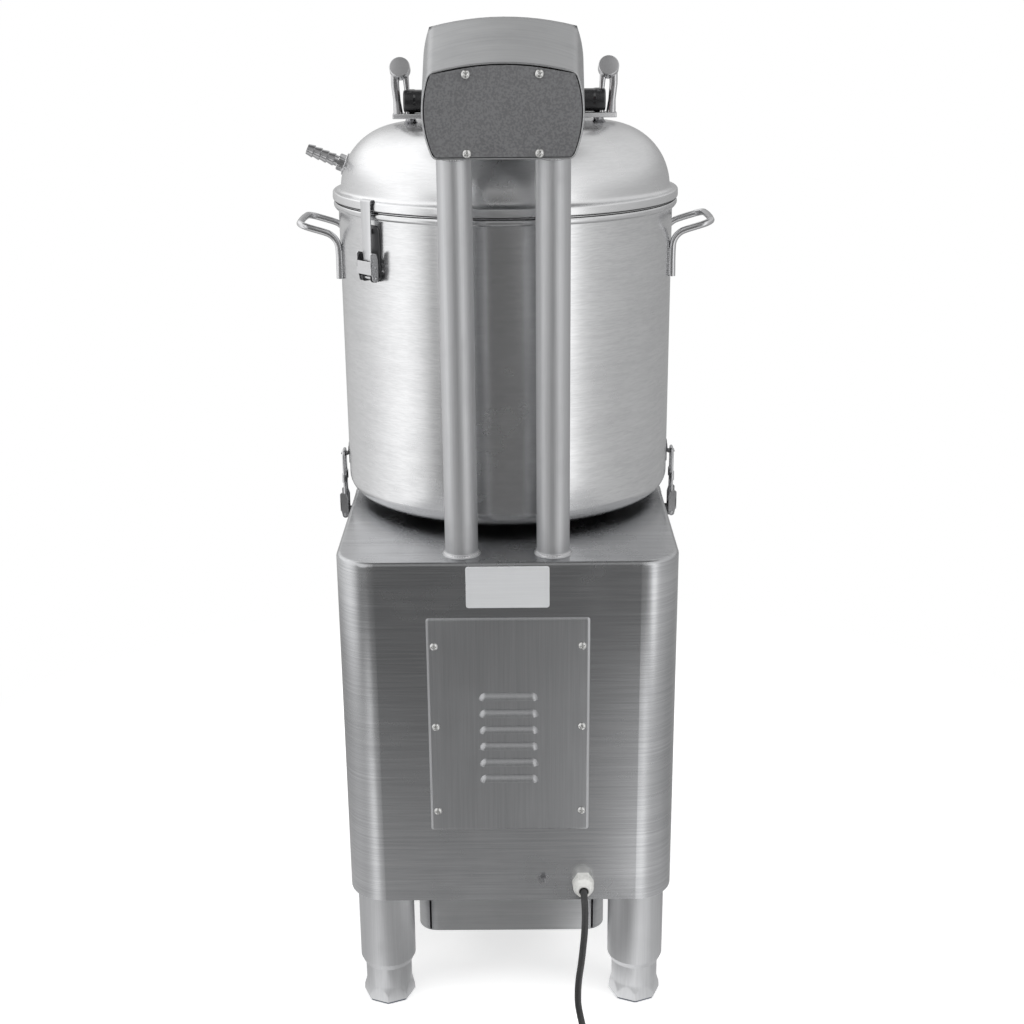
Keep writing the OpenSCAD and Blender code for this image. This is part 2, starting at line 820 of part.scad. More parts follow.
module pulley(r, bore_d) {
    h = pulley_h / 2;
    g = belt_w / 2 + clear;
    rotate_extrude() polygon([
        [bore_d / 2, -h], [hub_d / 2 * bore_d / shaft_d, -h], [hub_d / 2 * bore_d / shaft_d,
            -g - belt_taper],
        [r, -g - belt_taper], [r, -g], [r - groove_d, -g + belt_taper], [r - groove_d, g - belt_taper],
        [r, g], [r, g + belt_taper], [hub_d / 2 * bore_d / shaft_d, g + belt_taper],
        [hub_d / 2 * bore_d / shaft_d, h], [bore_d / 2, h]
    ]);
}

module motor_pulley() {
    color("dimgray") translate([0, motor_y, belt_z]) pulley(motor_pulley_d / 2, motor_shaft_d);
}

module shaft_pulley() {
    color("dimgray") translate([0, 0, belt_z]) pulley(pulley_d / 2, shaft_d);
}

// Loop round both pulleys, drawn in by an inset
module belt_loop(inset, h) {
    translate([0, 0, -h / 2]) hull() {
        cylinder(r = pulley_d / 2 - clear - inset, h = h);
        translate([0, motor_y, 0]) cylinder(r = motor_pulley_d / 2 - clear - inset, h = h);
    }
}

module v_belt() {
    color("black") translate([0, 0, belt_z]) difference() {
        belt_loop(0, belt_w - 2 * belt_taper);
        belt_loop(belt_h, belt_w + 2 * over);
    }
}

module main_shaft() {
    color("silver") translate([0, 0, shaft_bottom]) cylinder(d = shaft_d, h = shaft_top - shaft_bottom);
}

module bearing_housing() {
    bore = bearing_d / 2;
    wall = housing_d / 2;
    color("gray") difference() {
        rotate_extrude() polygon([
            [bore, housing_z], [wall, housing_z], [wall, housing_top - housing_flange_t],
            [housing_flange_d / 2, housing_top - housing_flange_t], [housing_flange_d / 2, housing_top],
            [neck_d / 2, housing_top], [neck_d / 2, neck_top], [shaft_d / 2 + clear, neck_top],
            [shaft_d / 2 + clear, housing_top - bearing_h / 2], [bore - drum_t,
                housing_top - bearing_h / 2],
            [bore - drum_t, housing_top - bearing_h], [bore, housing_top - bearing_h]
        ]);
        for (a = [45:90:315])
            rotate([0, 0, a]) translate([bolt_ring, 0, housing_top - housing_flange_t - over])
                cylinder(d = bolt_d, h = housing_flange_t + 2 * over);
    }
}

module shaft_bearings() {
    color("silver") for (z = [housing_z, housing_top - 2 * bearing_h])
        translate([0, 0, z]) tube_ring(bearing_d / 2, shaft_d / 2 + fit, bearing_h);
}

module shaft_seal() {
    color("black") translate([0, 0, neck_top]) tube_ring(neck_d / 2 - drum_t, shaft_d / 2 + fit, seal_h);
}

module posts() {
    color("silver") for (x = [-post_x, post_x]) translate([x, post_y, cab_top]) {
        tube_ring(post_d / 2, post_d / 2 - post_wall, post_top - cab_top);
        rotate_extrude() polygon([
            [post_d / 2 - post_wall, 0], [post_d / 2 + collar_w, 0], [post_d / 2, collar_h],
            [post_d / 2 - post_wall, collar_h]
        ]);
    }
}

function side_at(h) = box_bottom_half + box_bulge * (1 - pow((h - box_bulge_h) / box_bulge_h, 2));
function box_side(inset, flare) = [for (i = [0:10]) let (h = box_side_h * i / 10)
    [side_at(h) + flare - inset, max(inset, min(h, box_side_h - inset / 2))]];
function box_top(inset, flare)
    = [for (i = [1:11]) let (s = 1 - i / 6, w = side_at(box_side_h) + flare - inset)
    [w * s, box_side_h + box_arch * (1 - s * s) - inset]];
function box_outline(inset, flare) = concat(box_side(inset, flare), box_top(inset, flare),
    [for (p = box_side(inset, flare)) [-p[0], p[1]]]);

// Slab of the box's outline at a share of its length from the rear
module box_slab(share, inset) {
    translate([0, box_y - share * box_len, box_z + share * box_rise]) rotate([90, 0, 0])
        linear_extrude(slab, center = true) hull() polygon(box_outline(inset, share * box_flare));
}

module box_form(inset, share_a, share_b) {
    hull() {
        box_slab(share_a, inset);
        box_slab(share_b, inset);
    }
}

module control_box() {
    color("silver") difference() {
        box_form(0, 0, 1);
        box_form(box_wall, -over / box_len, 1 + over / box_len);
        for (x = [-post_x, post_x])
            translate([x, post_y, box_z - over]) cylinder(d = post_d, h = post_top - box_z + 2 * over);
    }
}

module box_rear_plate() {
    color("gray") difference() {
        translate([0, box_y, box_z]) rotate([90, 0, 0])
            linear_extrude(box_wall) hull() polygon(box_outline(box_wall + plate_gap, 0));
        for (x = [-1, 1], z = [plate_screw_low, plate_screw_high])
            translate([x * plate_screw_x, box_y - box_wall - over, box_z + z])
                rotate([-90, 0, 0]) cylinder(d = screw_d, h = box_wall + 2 * over);
    }
}

module control_panel() {
    color("gray") difference() {
        translate([0, box_front, box_z + box_rise]) rotate([90, 0, 0])
            linear_extrude(box_panel_t) hull() polygon(box_outline(0, box_flare));
        translate([knob_x, panel_front - over, panel_mid]) rotate([-90, 0, 0])
            cylinder(d = spindle_d + 2 * clear, h = box_panel_t + 2 * over);
        for (z = [-1, 1]) translate([button_x, panel_front - over, panel_mid + z * button_rise])
            rotate([-90, 0, 0]) cylinder(d = bezel_d - bezel_h, h = box_panel_t + 2 * over);
        translate([stop_x, panel_front - over, panel_mid]) rotate([-90, 0, 0])
            cylinder(d = bezel_d - bezel_h, h = box_panel_t + 2 * over);
    }
}

// Round fitting through the panel, with a bore for its button
module bezel(bore_d) {
    rotate([-90, 0, 0]) difference() {
        union() {
            translate([0, 0, -bezel_h]) cylinder(d = bezel_d, h = bezel_h);
            cylinder(d = bezel_d - bezel_h, h = bezel_body_h);
        }
        translate([0, 0, -bezel_h - over]) cylinder(d = bore_d, h = bezel_body_h + bezel_h - 2 * over);
    }
}

module panel_fittings() {
    color("dimgray") {
        translate([knob_x - timer_w / 2, box_front, panel_mid - timer_w / 2]) difference() {
            cube([timer_w, timer_h, timer_w]);
            translate([timer_w / 2, -over, timer_w / 2]) rotate([-90, 0, 0])
                cylinder(d = spindle_d + 2 * fit, h = timer_h / 2 + over);
        }
        for (z = [-1, 1]) translate([button_x, panel_front, panel_mid + z * button_rise])
            bezel(button_d + 2 * fit);
        translate([stop_x, panel_front, panel_mid]) bezel(mushroom_stem_d + 2 * fit);
    }
}

module timer_knob() {
    color("black") translate([knob_x, panel_front - clear, panel_mid]) rotate([90, 0, 0]) {
        cylinder(d = knob_d, h = bezel_h);
        cylinder(d = knob_d * knob_cap_share, h = knob_h);
        translate([-bezel_h / 2, -knob_d * knob_grip_share / 2, 0])
            cube([bezel_h, knob_d * knob_grip_share, knob_h + bezel_h]);
        translate([0, 0, -box_panel_t - timer_h / 3])
            cylinder(d = spindle_d, h = box_panel_t + timer_h / 3);
    }
}

module push_button(z) {
    translate([button_x, panel_front - bezel_h - button_travel, z]) rotate([-90, 0, 0])
        cylinder(d = button_d, h = bezel_body_h - button_travel);
}
module start_button() { color("green") push_button(panel_mid + button_rise); }
module stop_button() { color("red") push_button(panel_mid - button_rise); }

module emergency_stop() {
    color("red") translate([stop_x, panel_front - bezel_h - clear - mushroom_travel, panel_mid])
        rotate([90, 0, 0]) {
        rotate_extrude() intersection() {
            translate([0, mushroom_h - mushroom_d]) circle(mushroom_d);
            square([mushroom_d / 2, mushroom_h]);
        }
        translate([0, 0, -bezel_body_h + bezel_h])
            cylinder(d = mushroom_stem_d, h = bezel_body_h - bezel_h);
    }
}

module drum_shell() {
    color("silver") difference() {
        rotate_extrude() {
            translate([0, drum_z]) square([drum_r - drum_edge_r, drum_t]);
            translate([drum_r - drum_t, drum_z + drum_edge_r]) square([drum_t, drum_h - drum_edge_r]);
            translate([drum_r - drum_edge_r, drum_z + drum_edge_r]) intersection() {
                difference() {
                    circle(drum_edge_r);
                    circle(drum_edge_r - drum_t);
                }
                translate([0, -drum_edge_r]) square(drum_edge_r);
            }
            translate([drum_r - drum_t, rim_z - rim_h]) square([drum_t + rim_out - rim_h / 4, rim_h]);
            translate([drum_r + rim_out - rim_h / 2, rim_z - rim_h / 2]) circle(rim_h / 2);
        }
        translate([-chute_w / 2, -drum_r - over, chute_z]) cube([chute_w, drum_r / 2, chute_h]);
        translate([0, 0, drum_z - over]) cylinder(d = neck_d, h = drum_t + 2 * over);
        translate([0, duct_y, drum_z - over]) cylinder(d = duct_d - 2 * duct_wall, h = drum_t + 2 * over);
    }
}

module drum_seat() {
    color("black") translate([0, 0, cab_top]) tube_ring(seat_r, seat_r - seat_w, drum_gap);
}

module drum_lining() {
    color("dimgray") difference() {
        translate([0, 0, lining_z]) tube_ring(lining_r, lining_r - lining_t, lining_h);
        translate([-chute_w / 2, -drum_r - over, chute_z]) cube([chute_w, drum_r / 2, chute_h]);
    }
}

module rod(length) { cylinder(d = handle_d, h = length); }

// One half of a handle: a tail welded to the drum's wall, a sloping arm and a corner to the middle of
// the grip
module handle_side() {
    rise = asin(handle_slope / handle_reach);
    seat = sqrt(pow(drum_r + handle_d / 2 - weld_bite, 2) - pow(handle_half, 2));
    arm = (handle_reach - seat + drum_r) / cos(rise) - handle_bend - handle_d / 2;
    translate([seat, -handle_half, 0]) {
        translate([0, 0, -handle_tail]) rod(handle_tail);
        sphere(d = handle_d - weld_bite, $fn = 24);
        rotate([0, -rise, 0]) {
            rotate([0, 90, 0]) rod(arm);
            translate([arm, handle_bend, 0]) rotate([0, 0, -90]) rotate_extrude(angle = 90)
                translate([handle_bend, 0]) circle(d = handle_d);
            translate([arm + handle_bend, handle_bend, 0]) rotate([-90, 0, 0])
                rod(handle_half - handle_bend);
        }
    }
}

module drum_handle() {
    translate([0, 0, rim_z - rim_h - handle_drop]) {
        handle_side();
        mirror([0, 1, 0]) handle_side();
    }
}

module drum_handles() {
    color("silver") for (a = [0, 180]) rotate([0, 0, a]) difference() {
        drum_handle();
        cylinder(r = drum_r / cos(180 / $fn), h = rim_z);
    }
}

module discharge_chute() {
    w = chute_w / 2 + chute_t;
    color("silver") {
        difference() {
            translate([-w, mouth_y, chute_z - chute_t])
                cube([2 * w, chute_reach - drum_r * chute_root_share, chute_h + 2 * chute_t]);
            translate([-chute_w / 2, mouth_y - over, chute_z]) cube([chute_w, chute_reach, chute_h]);
            cylinder(r = drum_r, h = rim_z);
        }
        translate([-lug_half, mouth_y, chute_z + chute_h + chute_t]) difference() {
            union() {
                cube([2 * lug_half, hinge_r, hinge_z - chute_z - chute_h - chute_t]);
                translate([0, hinge_y - mouth_y, 0])
                    cube([2 * lug_half, mouth_y - hinge_y + hinge_r,
                        hinge_z - chute_z - chute_h - chute_t]);
                translate([0, hinge_y - mouth_y, hinge_z - chute_z - chute_h - chute_t])
                    rotate([0, 90, 0]) cylinder(r = hinge_r, h = 2 * lug_half);
            }
            translate([-over, hinge_y - mouth_y, hinge_z - chute_z - chute_h - chute_t])
                rotate([0, 90, 0]) cylinder(d = hinge_pin_d, h = 2 * lug_half + 2 * over);
        }
        translate([-lug_half - knuckle_w - over, hinge_y, hinge_z])
            rotate([0, 90, 0]) cylinder(d = hinge_pin_d, h = 2 * (lug_half + knuckle_w + over));
    }
}

module discharge_door() {
    color("silver") difference() {
        union() {
            translate([-door_half, door_front, door_low])
                cube([2 * door_half, door_t, door_high - door_low]);
            for (x = [-1, 1]) translate([x > 0 ? lug_half + clear : -lug_half - clear - knuckle_w, 0, 0]) {
                translate([0, door_front, door_high - over])
                    cube([knuckle_w, door_t, hinge_z - door_high + over]);
                translate([0, hinge_y, hinge_z]) rotate([0, 90, 0]) cylinder(r = hinge_r, h = knuckle_w);
            }
        }
        translate([-door_half, hinge_y, hinge_z]) rotate([0, 90, 0])
            cylinder(d = hinge_pin_d + 2 * fit, h = 2 * door_half);
    }
}

module door_seal() {
    color("black") translate([0, door_back + seal_t, chute_z + chute_h / 2]) rotate([90, 0, 0])
        linear_extrude(seal_t) difference() {
            square([chute_w + seal_w, chute_h + chute_t], center = true);
            square([chute_w - seal_w, chute_h - seal_w], center = true);
        }
}

module door_handle() {
    color("black") translate([0, door_front - clear, door_mid]) rotate([90, 0, 0]) {
        cylinder(d = door_hub_d, h = door_hub_h);
        translate([0, 0, door_hub_h]) {
            rotate([0, 90, 0]) cylinder(d = door_grip_d, h = door_grip_l - door_grip_d, center = true);
            for (x = [-1, 1]) translate([x * (door_grip_l - door_grip_d) / 2, 0, 0])
                sphere(d = door_grip_d);
        }
    }
}

module abrasive_disc() {
    color("dimgray") {
        difference() {
            union() {
                translate([0, 0, disc_z]) cylinder(d = disc_d, h = disc_t);
                intersection() {
                    for (a = [90:120:330]) rotate([0, 0, a])
                        translate([0, 0, disc_z + disc_t + wave_h - disc_hub_d])
                        rotate([0, 90, 0]) cylinder(r = disc_hub_d, h = disc_d);
                    translate([0, 0, disc_z + disc_t / 2]) cylinder(d = disc_d, h = 3 * disc_t);
                }
                translate([0, 0, neck_top + seal_h + clear])
                    cylinder(d = disc_hub_d, h = disc_z - neck_top - seal_h);
                for (a = [0, 180]) rotate([0, 0, a])
                    translate([disc_hub_d / 2 - over, -vane_t / 2, drum_floor + vane_t])
                        cube([disc_d / 2 - disc_hub_d, vane_t, disc_z - drum_floor - vane_t + over]);
            }
            translate([0, 0, drum_z]) cylinder(d = shaft_d, h = shaft_top - drum_z);
            translate([0, 0, drum_z])
                cylinder(d = neck_d + vane_t, h = neck_top + seal_h + clear - drum_z);
            translate([0, 0, shaft_top]) cylinder(d = nut_d + 2 * clear, h = 4 * disc_t);
        }
        translate([0, 0, shaft_top]) {
            cylinder(d = nut_d, h = nut_h / 2, $fn = 6);
            translate([0, 0, nut_h / 2]) intersection() {
                sphere(d = nut_d * nut_dome_share);
                cylinder(d = nut_d, h = nut_d);
            }
        }
    }
}

// Outline of the dome above its base, drawn in by an inset
function dome_points(inset) = concat(
    [for (a = [0:7:shoulder_end])
        [shoulder_x + (dome_shoulder_r - inset) * cos(a), (dome_shoulder_r - inset) * sin(a)]],
    [for (i = [4:-1:0]) let (
        x = (shoulder_x + (dome_shoulder_r - inset) * cos(shoulder_end)) * i / 5,
        edge_h = (dome_shoulder_r - inset) * sin(shoulder_end))
        [x, edge_h + (dome_h - inset - edge_h) * (1 - pow(i / 5, 2))]]);

module dome_solid(inset) {
    translate([0, 0, dome_z]) rotate_extrude() polygon(concat([[0, -lid_rim_h]],
        [[shoulder_x + dome_shoulder_r - inset, -lid_rim_h]], dome_points(inset)));
}

module lid_dome() {
    color("whitesmoke") difference() {
        union() {
            dome_solid(0);
            translate([0, 0, lid_z]) rotate_extrude() {
                square([lid_rim_r - lid_rim_h / 2, lid_rim_h]);
                translate([lid_rim_r - lid_rim_h / 2, lid_rim_h / 2]) circle(lid_rim_h / 2);
            }
        }
        dome_solid(lid_t);
        translate([0, 0, lid_z - over])
            cylinder(r = shoulder_x + dome_shoulder_r - lid_t, h = lid_rim_h + over);
        translate([inlet_x, 0, inlet_z]) rotate([0, 90 - inlet_tilt, 0])
            cylinder(d = inlet_bore_d + 2 * lid_t, h = 2 * inlet_hex_d, center = true);
    }
}

module lid_seal() {
    color("black") translate([0, 0, lid_z - lid_seal_t])
        tube_ring(drum_r + rim_out - clear, dome_base_r, lid_seal_t);
}

module loop_head() {
    rotate([loop_slope, 0, 0]) cylinder(d = loop_head_d, h = loop_head_t, center = true);
}

module handle_loop() {
    head_x = loop_x - loop_foot_w / 4;
    head_z = bar_top + loop_h - loop_head_d / 2;
    hull() {
        translate([head_x, 0, head_z]) loop_head();
        translate([head_x + loop_head_d / 4, loop_leg_t / 2, head_z - loop_head_d])
            cube(loop_leg_t, center = true);
    }
    hull() {
        translate([head_x + loop_head_d / 4, loop_leg_t / 2, head_z - loop_head_d])
            cube(loop_leg_t, center = true);
        translate([loop_x - loop_foot_w / 2, -loop_leg_t / 2, bar_top])
            cube([loop_foot_w, bar_d / 2, slab]);
    }
    hull() {
        translate([head_x - loop_head_d / 3, -loop_leg_t / 2, head_z]) cube(loop_leg_t, center = true);
        translate([head_x - loop_head_d / 3, 0, grip_z + grip_r])
            cube([loop_leg_t, loop_leg_t, slab], center = true);
    }
}

module lid_handle_frame() {
    color("silver") {
        difference() {
            union() {
                translate([-bar_l / 2, -bar_d / 2, bar_z]) cube([bar_l, bar_d, bar_t]);
                for (x = [-1, 1]) translate([x * standoff_x, 0, bar_z - standoff_d])
                    cylinder(d = standoff_d, h = standoff_d);
            }
            dome_solid(0);
        }
        for (side = [0, 1]) mirror([side, 0, 0]) handle_loop();
    }
}

module lid_handle_grip() {
    color("black") translate([-grip_half, 0, grip_z]) rotate([0, 90, 0])
        cylinder(d = grip_d, h = 2 * grip_half);
}

module water_inlet() {
    color("silver") translate([inlet_x, 0, inlet_z]) rotate([0, 90 - inlet_tilt, 0]) difference() {
        union() {
            translate([0, 0, -inlet_hex_h]) cylinder(d = inlet_bore_d + 2 * lid_t, h = inlet_hex_h);
            cylinder(d = inlet_hex_d, h = inlet_hex_h, $fn = 6);
            translate([0, 0, inlet_hex_h]) cylinder(d = inlet_d, h = inlet_len - inlet_hex_h);
            for (i = [0:inlet_ribs - 1])
                translate([0, 0, inlet_len - (i + 1) * inlet_hex_h])
                    cylinder(d1 = inlet_rib_d, d2 = inlet_d, h = inlet_hex_h / 2);
        }
        translate([0, 0, -inlet_hex_h - over])
            cylinder(d = inlet_bore_d, h = inlet_len + inlet_hex_h + 2 * over);
    }
}

// Plate with two ears and a pin, with the pin's axis along Y at the height z
module latch_plate(wall_u, pin_u, z, low, high) {
    translate([wall_u, -latch_w / 2, z - low]) cube([latch_plate_t, latch_w, low + high]);
    for (y = [-1, 1])
        translate([wall_u + latch_plate_t - slab, y * latch_w / 3 - latch_plate_t / 2, z - latch_ear])
            cube([pin_u - wall_u, latch_plate_t, 2 * latch_ear]);
    translate([pin_u, 0, z]) rotate([90, 0, 0])
        cylinder(d = latch_pin_d, h = latch_w + 2 * lever_t, center = true);
}

module latch_plates() {
    color("silver") {
        for (a = lid_latch_turns) rotate([0, 0, a]) difference() {
            latch_plate(drum_r, lid_pin_u, lid_pin_z, latch_ear, 2 * lever_len);
            cylinder(r = drum_r, h = rim_z);
        }
        for (a = base_latch_turns) rotate([0, 0, a]) {
            latch_plate(side_x, base_pin_u, base_pin_z, 2 * latch_arm, lever_len);
            difference() {
                union() {
                    translate([drum_r - latch_plate_t, -keeper_w / 2, keeper_z - keeper_w])
                        cube([2 * latch_plate_t, keeper_w, 2 * keeper_w]);
                    translate([drum_r, -keeper_w / 2, keeper_z - keeper_t])
                        cube([base_pin_u - drum_r + bail_d / 2, keeper_w, keeper_t]);
                }
                cylinder(r = drum_r, h = rim_z);
            }
        }
    }
}

// Channel lever that turns on the plate's pin and carries the strap or bail in its cheeks
module latch_lever(pin_u, z, arm_d) {
    cheek = latch_w / 2 + lever_t / 2;
    difference() {
        union() {
            for (y = [-1, 1])
                translate([0, y * cheek - lever_t / 2, 0]) {
                    translate([pin_u - latch_ear + lever_t, 0, z])
                        cube([2 * latch_ear, lever_t, lever_len - lever_t]);
                    translate([pin_u, 0, z]) rotate([-90, 0, 0])
                        cylinder(d = 2 * latch_pin_d, h = lever_t);
                }
            translate([pin_u + latch_ear, -cheek - lever_t / 2, z + latch_pin_d])
                cube([lever_t, 2 * cheek + lever_t, lever_len - latch_pin_d]);
        }
        translate([pin_u, 0, z]) rotate([90, 0, 0])
            cylinder(d = latch_pin_d + 2 * fit, h = 2 * latch_w, center = true);
        translate([pin_u, 0, z + latch_arm]) rotate([90, 0, 0])
            cylinder(d = arm_d + 2 * fit, h = 2 * latch_w, center = true);
    }
}

module lid_lever(i) {
    color("silver") rotate([0, 0, lid_latch_turns[i]]) latch_lever(lid_pin_u, lid_pin_z, strap_pin_d);
}
module lid_lever_left() { lid_lever(0); }
module lid_lever_right() { lid_lever(1); }

module lid_strap(i) {
    top = lid_z + lid_rim_h + claw_gap;
    pin_z = lid_pin_z + latch_arm;
    color("silver") rotate([0, 0, lid_latch_turns[i]]) {
        translate([lid_pin_u, 0, pin_z]) rotate([90, 0, 0]) {
            cylinder(d = strap_pin_d, h = latch_w + 2 * lever_t, center = true);
            cylinder(d = strap_pin_d + 2 * strap_t, h = strap_w, center = true);
        }
        translate([strap_u, -strap_w / 2, pin_z]) cube([strap_t, strap_w, top + strap_t - pin_z]);
        translate([lid_rim_r - claw_lap, -strap_w / 2, top])
            cube([strap_u + strap_t - lid_rim_r + claw_lap, strap_w, strap_t]);
    }
}
module lid_strap_left() { lid_strap(0); }
module lid_strap_right() { lid_strap(1); }

module base_lever(i) {
    color("silver") rotate([0, 0, base_latch_turns[i]])
        latch_lever(base_pin_u, base_pin_z, bail_d * bail_arm_share);
}
module base_lever_left() { base_lever(0); }
module base_lever_right() { base_lever(1); }

module base_bail(i) {
    pin_z = base_pin_z + latch_arm;
    color("silver") rotate([0, 0, base_latch_turns[i]]) translate([base_pin_u, 0, pin_z]) {
        for (y = [-1, 1]) {
            translate([0, y * bail_half, 0]) cylinder(d = bail_d, h = bail_h);
            translate([0, y * bail_half, 0]) sphere(d = bail_d);
            translate([0, y * bail_half, bail_h]) sphere(d = bail_d);
            translate([0, y * bail_half, 0]) rotate([-90 * y, 0, 0])
                cylinder(d = bail_d * bail_arm_share, h = latch_w / 2 + lever_t - bail_half);
        }
        translate([0, 0, bail_h]) rotate([90, 0, 0])
            cylinder(d = bail_d, h = 2 * bail_half, center = true);
    }
}
module base_bail_left() { base_bail(0); }
module base_bail_right() { base_bail(1); }

// Round tube swept along points; each ring stands square to the route
module swept_tube(points, r, sides, side_hint) {
    n = len(points);
    rings = [for (i = [0:n - 1]) let (
        t = unit(points[min(i + 1, n - 1)] - points[max(i - 1, 0)]),
        b = unit(cross(t, side_hint)),
        c = cross(b, t))
        for (k = [0:sides - 1]) points[i] + r * (cos(k * 360 / sides) * b + sin(k * 360 / sides) * c)];
    walls = [for (i = [0:n - 2], k = [0:sides - 1]) let (
        a = i * sides + k,
        b = i * sides + (k + 1) % sides)
        each [[a, a + sides, b], [b, a + sides, b + sides]]];
    ends = [for (k = [1:sides - 2])
        each [[0, k, k + 1], [(n - 1) * sides, (n - 1) * sides + k + 1, (n - 1) * sides + k]]];
    polyhedron(rings, concat(walls, ends), convexity = 10);
}

coil_turns = turns_in + turns_back + turns_out;
coil_inner_r = coil_r - coil_pitch * turns_in;
function coil_reach(s) =
    s < turns_in ? coil_r - coil_pitch * s :
    s < turns_in + turns_back ? coil_inner_r - coil_pitch / 360 * 180 / PI * sin(360 * (s - turns_in)) :
    coil_inner_r + coil_pitch * (s - turns_in - turns_back);
function coil_point(s) = [
    coil_x + coil_reach(s) * cos(coil_enter - 360 * s),
    coil_y + coil_reach(s) * sin(coil_enter - 360 * s),
    cord_r + layer_step * blend((s - turns_in) / turns_back)];
coil_start = coil_point(0);
coil_way = [sin(coil_enter), -cos(coil_enter), 0];
plug_z = plug_d / 2;
tail_start = coil_point(coil_turns);
function tail_point(a)
    = tail_start + a * coil_way + [0, 0, (plug_z - cord_r - layer_step) * blend(a / (tail_l - cord_d))];
coil_points = concat([coil_start - cord_d * coil_way],
    [for (i = [0:round(coil_rings * coil_turns)]) coil_point(i / coil_rings)],
    [for (a = [1:6]) tail_point(a * (tail_l - cord_d) / 6)],
        [tail_point(tail_l - cord_d) + cord_d * coil_way]);
plug_place = tail_point(tail_l - cord_d) + cord_d * coil_way;
function path_length(p) = len(p) < 2 ? 0 :
    [for (i = 0, sum = 0; i < len(p); sum = sum + (i + 1 < len(p) ? norm(p[i + 1] - p[i]) : 0),
        i = i + 1) sum][len(p) - 1];

module power_cord() {
    color("dimgray") swept_tube(concat(cord_route, [coil_start - cord_d * coil_way]), cord_r, 10, [1, 0,
        0]);
}

module cord_coil() {
    half = floor(coil_rings / 2);
    gaps = [for (i = [0:len(coil_points) - 1 - half], j = [i + half:len(coil_points) - 1])
        norm(coil_points[i] - coil_points[j])];
    echo("least gap of the coil to itself", min(gaps) - cord_d);
    echo("length of the coil", path_length(coil_points));
    echo("length of the free stretch", path_length(concat(cord_route, [coil_start - cord_d * coil_way])));
    color("dimgray") swept_tube(coil_points, cord_r, 6, [0, 0, 1]);
}

module power_plug() {
    color("black") translate(plug_place) rotate([0, 0, atan2(coil_way[1], coil_way[0])])
        rotate([0, 90, 0]) {
        cylinder(d1 = cord_d * relief_share, d2 = plug_relief_d, h = plug_relief_l);
        translate([0, 0, plug_relief_l])
            cylinder(d1 = plug_back_d, d2 = plug_d * plug_waist_share, h = plug_back_l);
        translate([0, 0, plug_relief_l + plug_back_l]) cylinder(d = plug_d, h = plug_face_l);
        for (y = [-1, 1])
            translate([0, y * pin_gap / 2, plug_relief_l + plug_back_l + plug_face_l])
                cylinder(d = pin_d, h = pin_l);
    }
}

cabinet_shell();
cabinet_floor();
rear_access_panel();
nameplate();
pan_screws();
earth_screw();
cable_gland();
legs();
foot_1();
foot_2();
foot_3();
foot_4();
peel_tray();
drain_duct();
motor_bracket();
motor_housing();
drive_bolts();
motor_shaft();
motor_pulley();
v_belt();
shaft_pulley();
main_shaft();
bearing_housing();
shaft_bearings();
shaft_seal();
posts();
control_box();
box_rear_plate();
control_panel();
panel_fittings();
timer_knob();
start_button();
stop_button();
emergency_stop();
drum_shell();
drum_seat();
drum_lining();
drum_handles();
discharge_chute();
discharge_door();
door_seal();
door_handle();
abrasive_disc();
lid_dome();
lid_seal();
lid_handle_frame();
lid_handle_grip();
water_inlet();
latch_plates();
lid_lever_left();
lid_lever_right();
lid_strap_left();
lid_strap_right();
base_lever_left();
base_lever_right();
base_bail_left();
base_bail_right();
power_cord();
cord_coil();
power_plug();
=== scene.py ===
"""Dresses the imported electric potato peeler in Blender: finishes, finer pieces and the studio.

The row frame is used as it is: metres, the floor at z 0, the drum's axis on z, the front to -Y.
"""

import logging
import math
from dataclasses import dataclass, field, fields
from enum import Enum
from typing import Callable, Optional, Sequence, Union

import bmesh
import bpy
import numpy as np
from mathutils import Matrix, Vector


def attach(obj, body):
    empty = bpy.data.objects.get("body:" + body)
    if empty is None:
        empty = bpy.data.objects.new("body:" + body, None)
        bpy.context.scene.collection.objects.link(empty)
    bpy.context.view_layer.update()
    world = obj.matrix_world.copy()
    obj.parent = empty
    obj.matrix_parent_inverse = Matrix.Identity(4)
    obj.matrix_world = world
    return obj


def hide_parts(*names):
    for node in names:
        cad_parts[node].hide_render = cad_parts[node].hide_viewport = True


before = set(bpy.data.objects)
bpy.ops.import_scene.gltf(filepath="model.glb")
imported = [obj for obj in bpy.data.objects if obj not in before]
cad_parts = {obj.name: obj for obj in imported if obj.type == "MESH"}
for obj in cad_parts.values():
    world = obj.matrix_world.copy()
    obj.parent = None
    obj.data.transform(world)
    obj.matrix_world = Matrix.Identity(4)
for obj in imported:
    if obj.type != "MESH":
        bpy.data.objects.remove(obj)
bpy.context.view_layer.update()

LOG = logging.getLogger("peeler")

Vector3 = Sequence[float]
Colour = tuple[float, float, float]
Tree = bpy.types.NodeTree
Socket = bpy.types.NodeSocket
RadiusOf = Callable[[np.ndarray, np.ndarray, np.ndarray], np.ndarray]


# Shader node groups


class Lay(Enum):
    """Axis that the lines of a brushed finish run along."""

    ALONG_X = (0.012, 1.0, 1.0)
    LEVEL = (0.0121, 0.0121, 1.0)
    ALONG_Z = (1.0, 1.0, 0.012)
    ROUND = (0.10, 0.10, 1.0)
    NONE = (1.0, 1.0, 1.0)


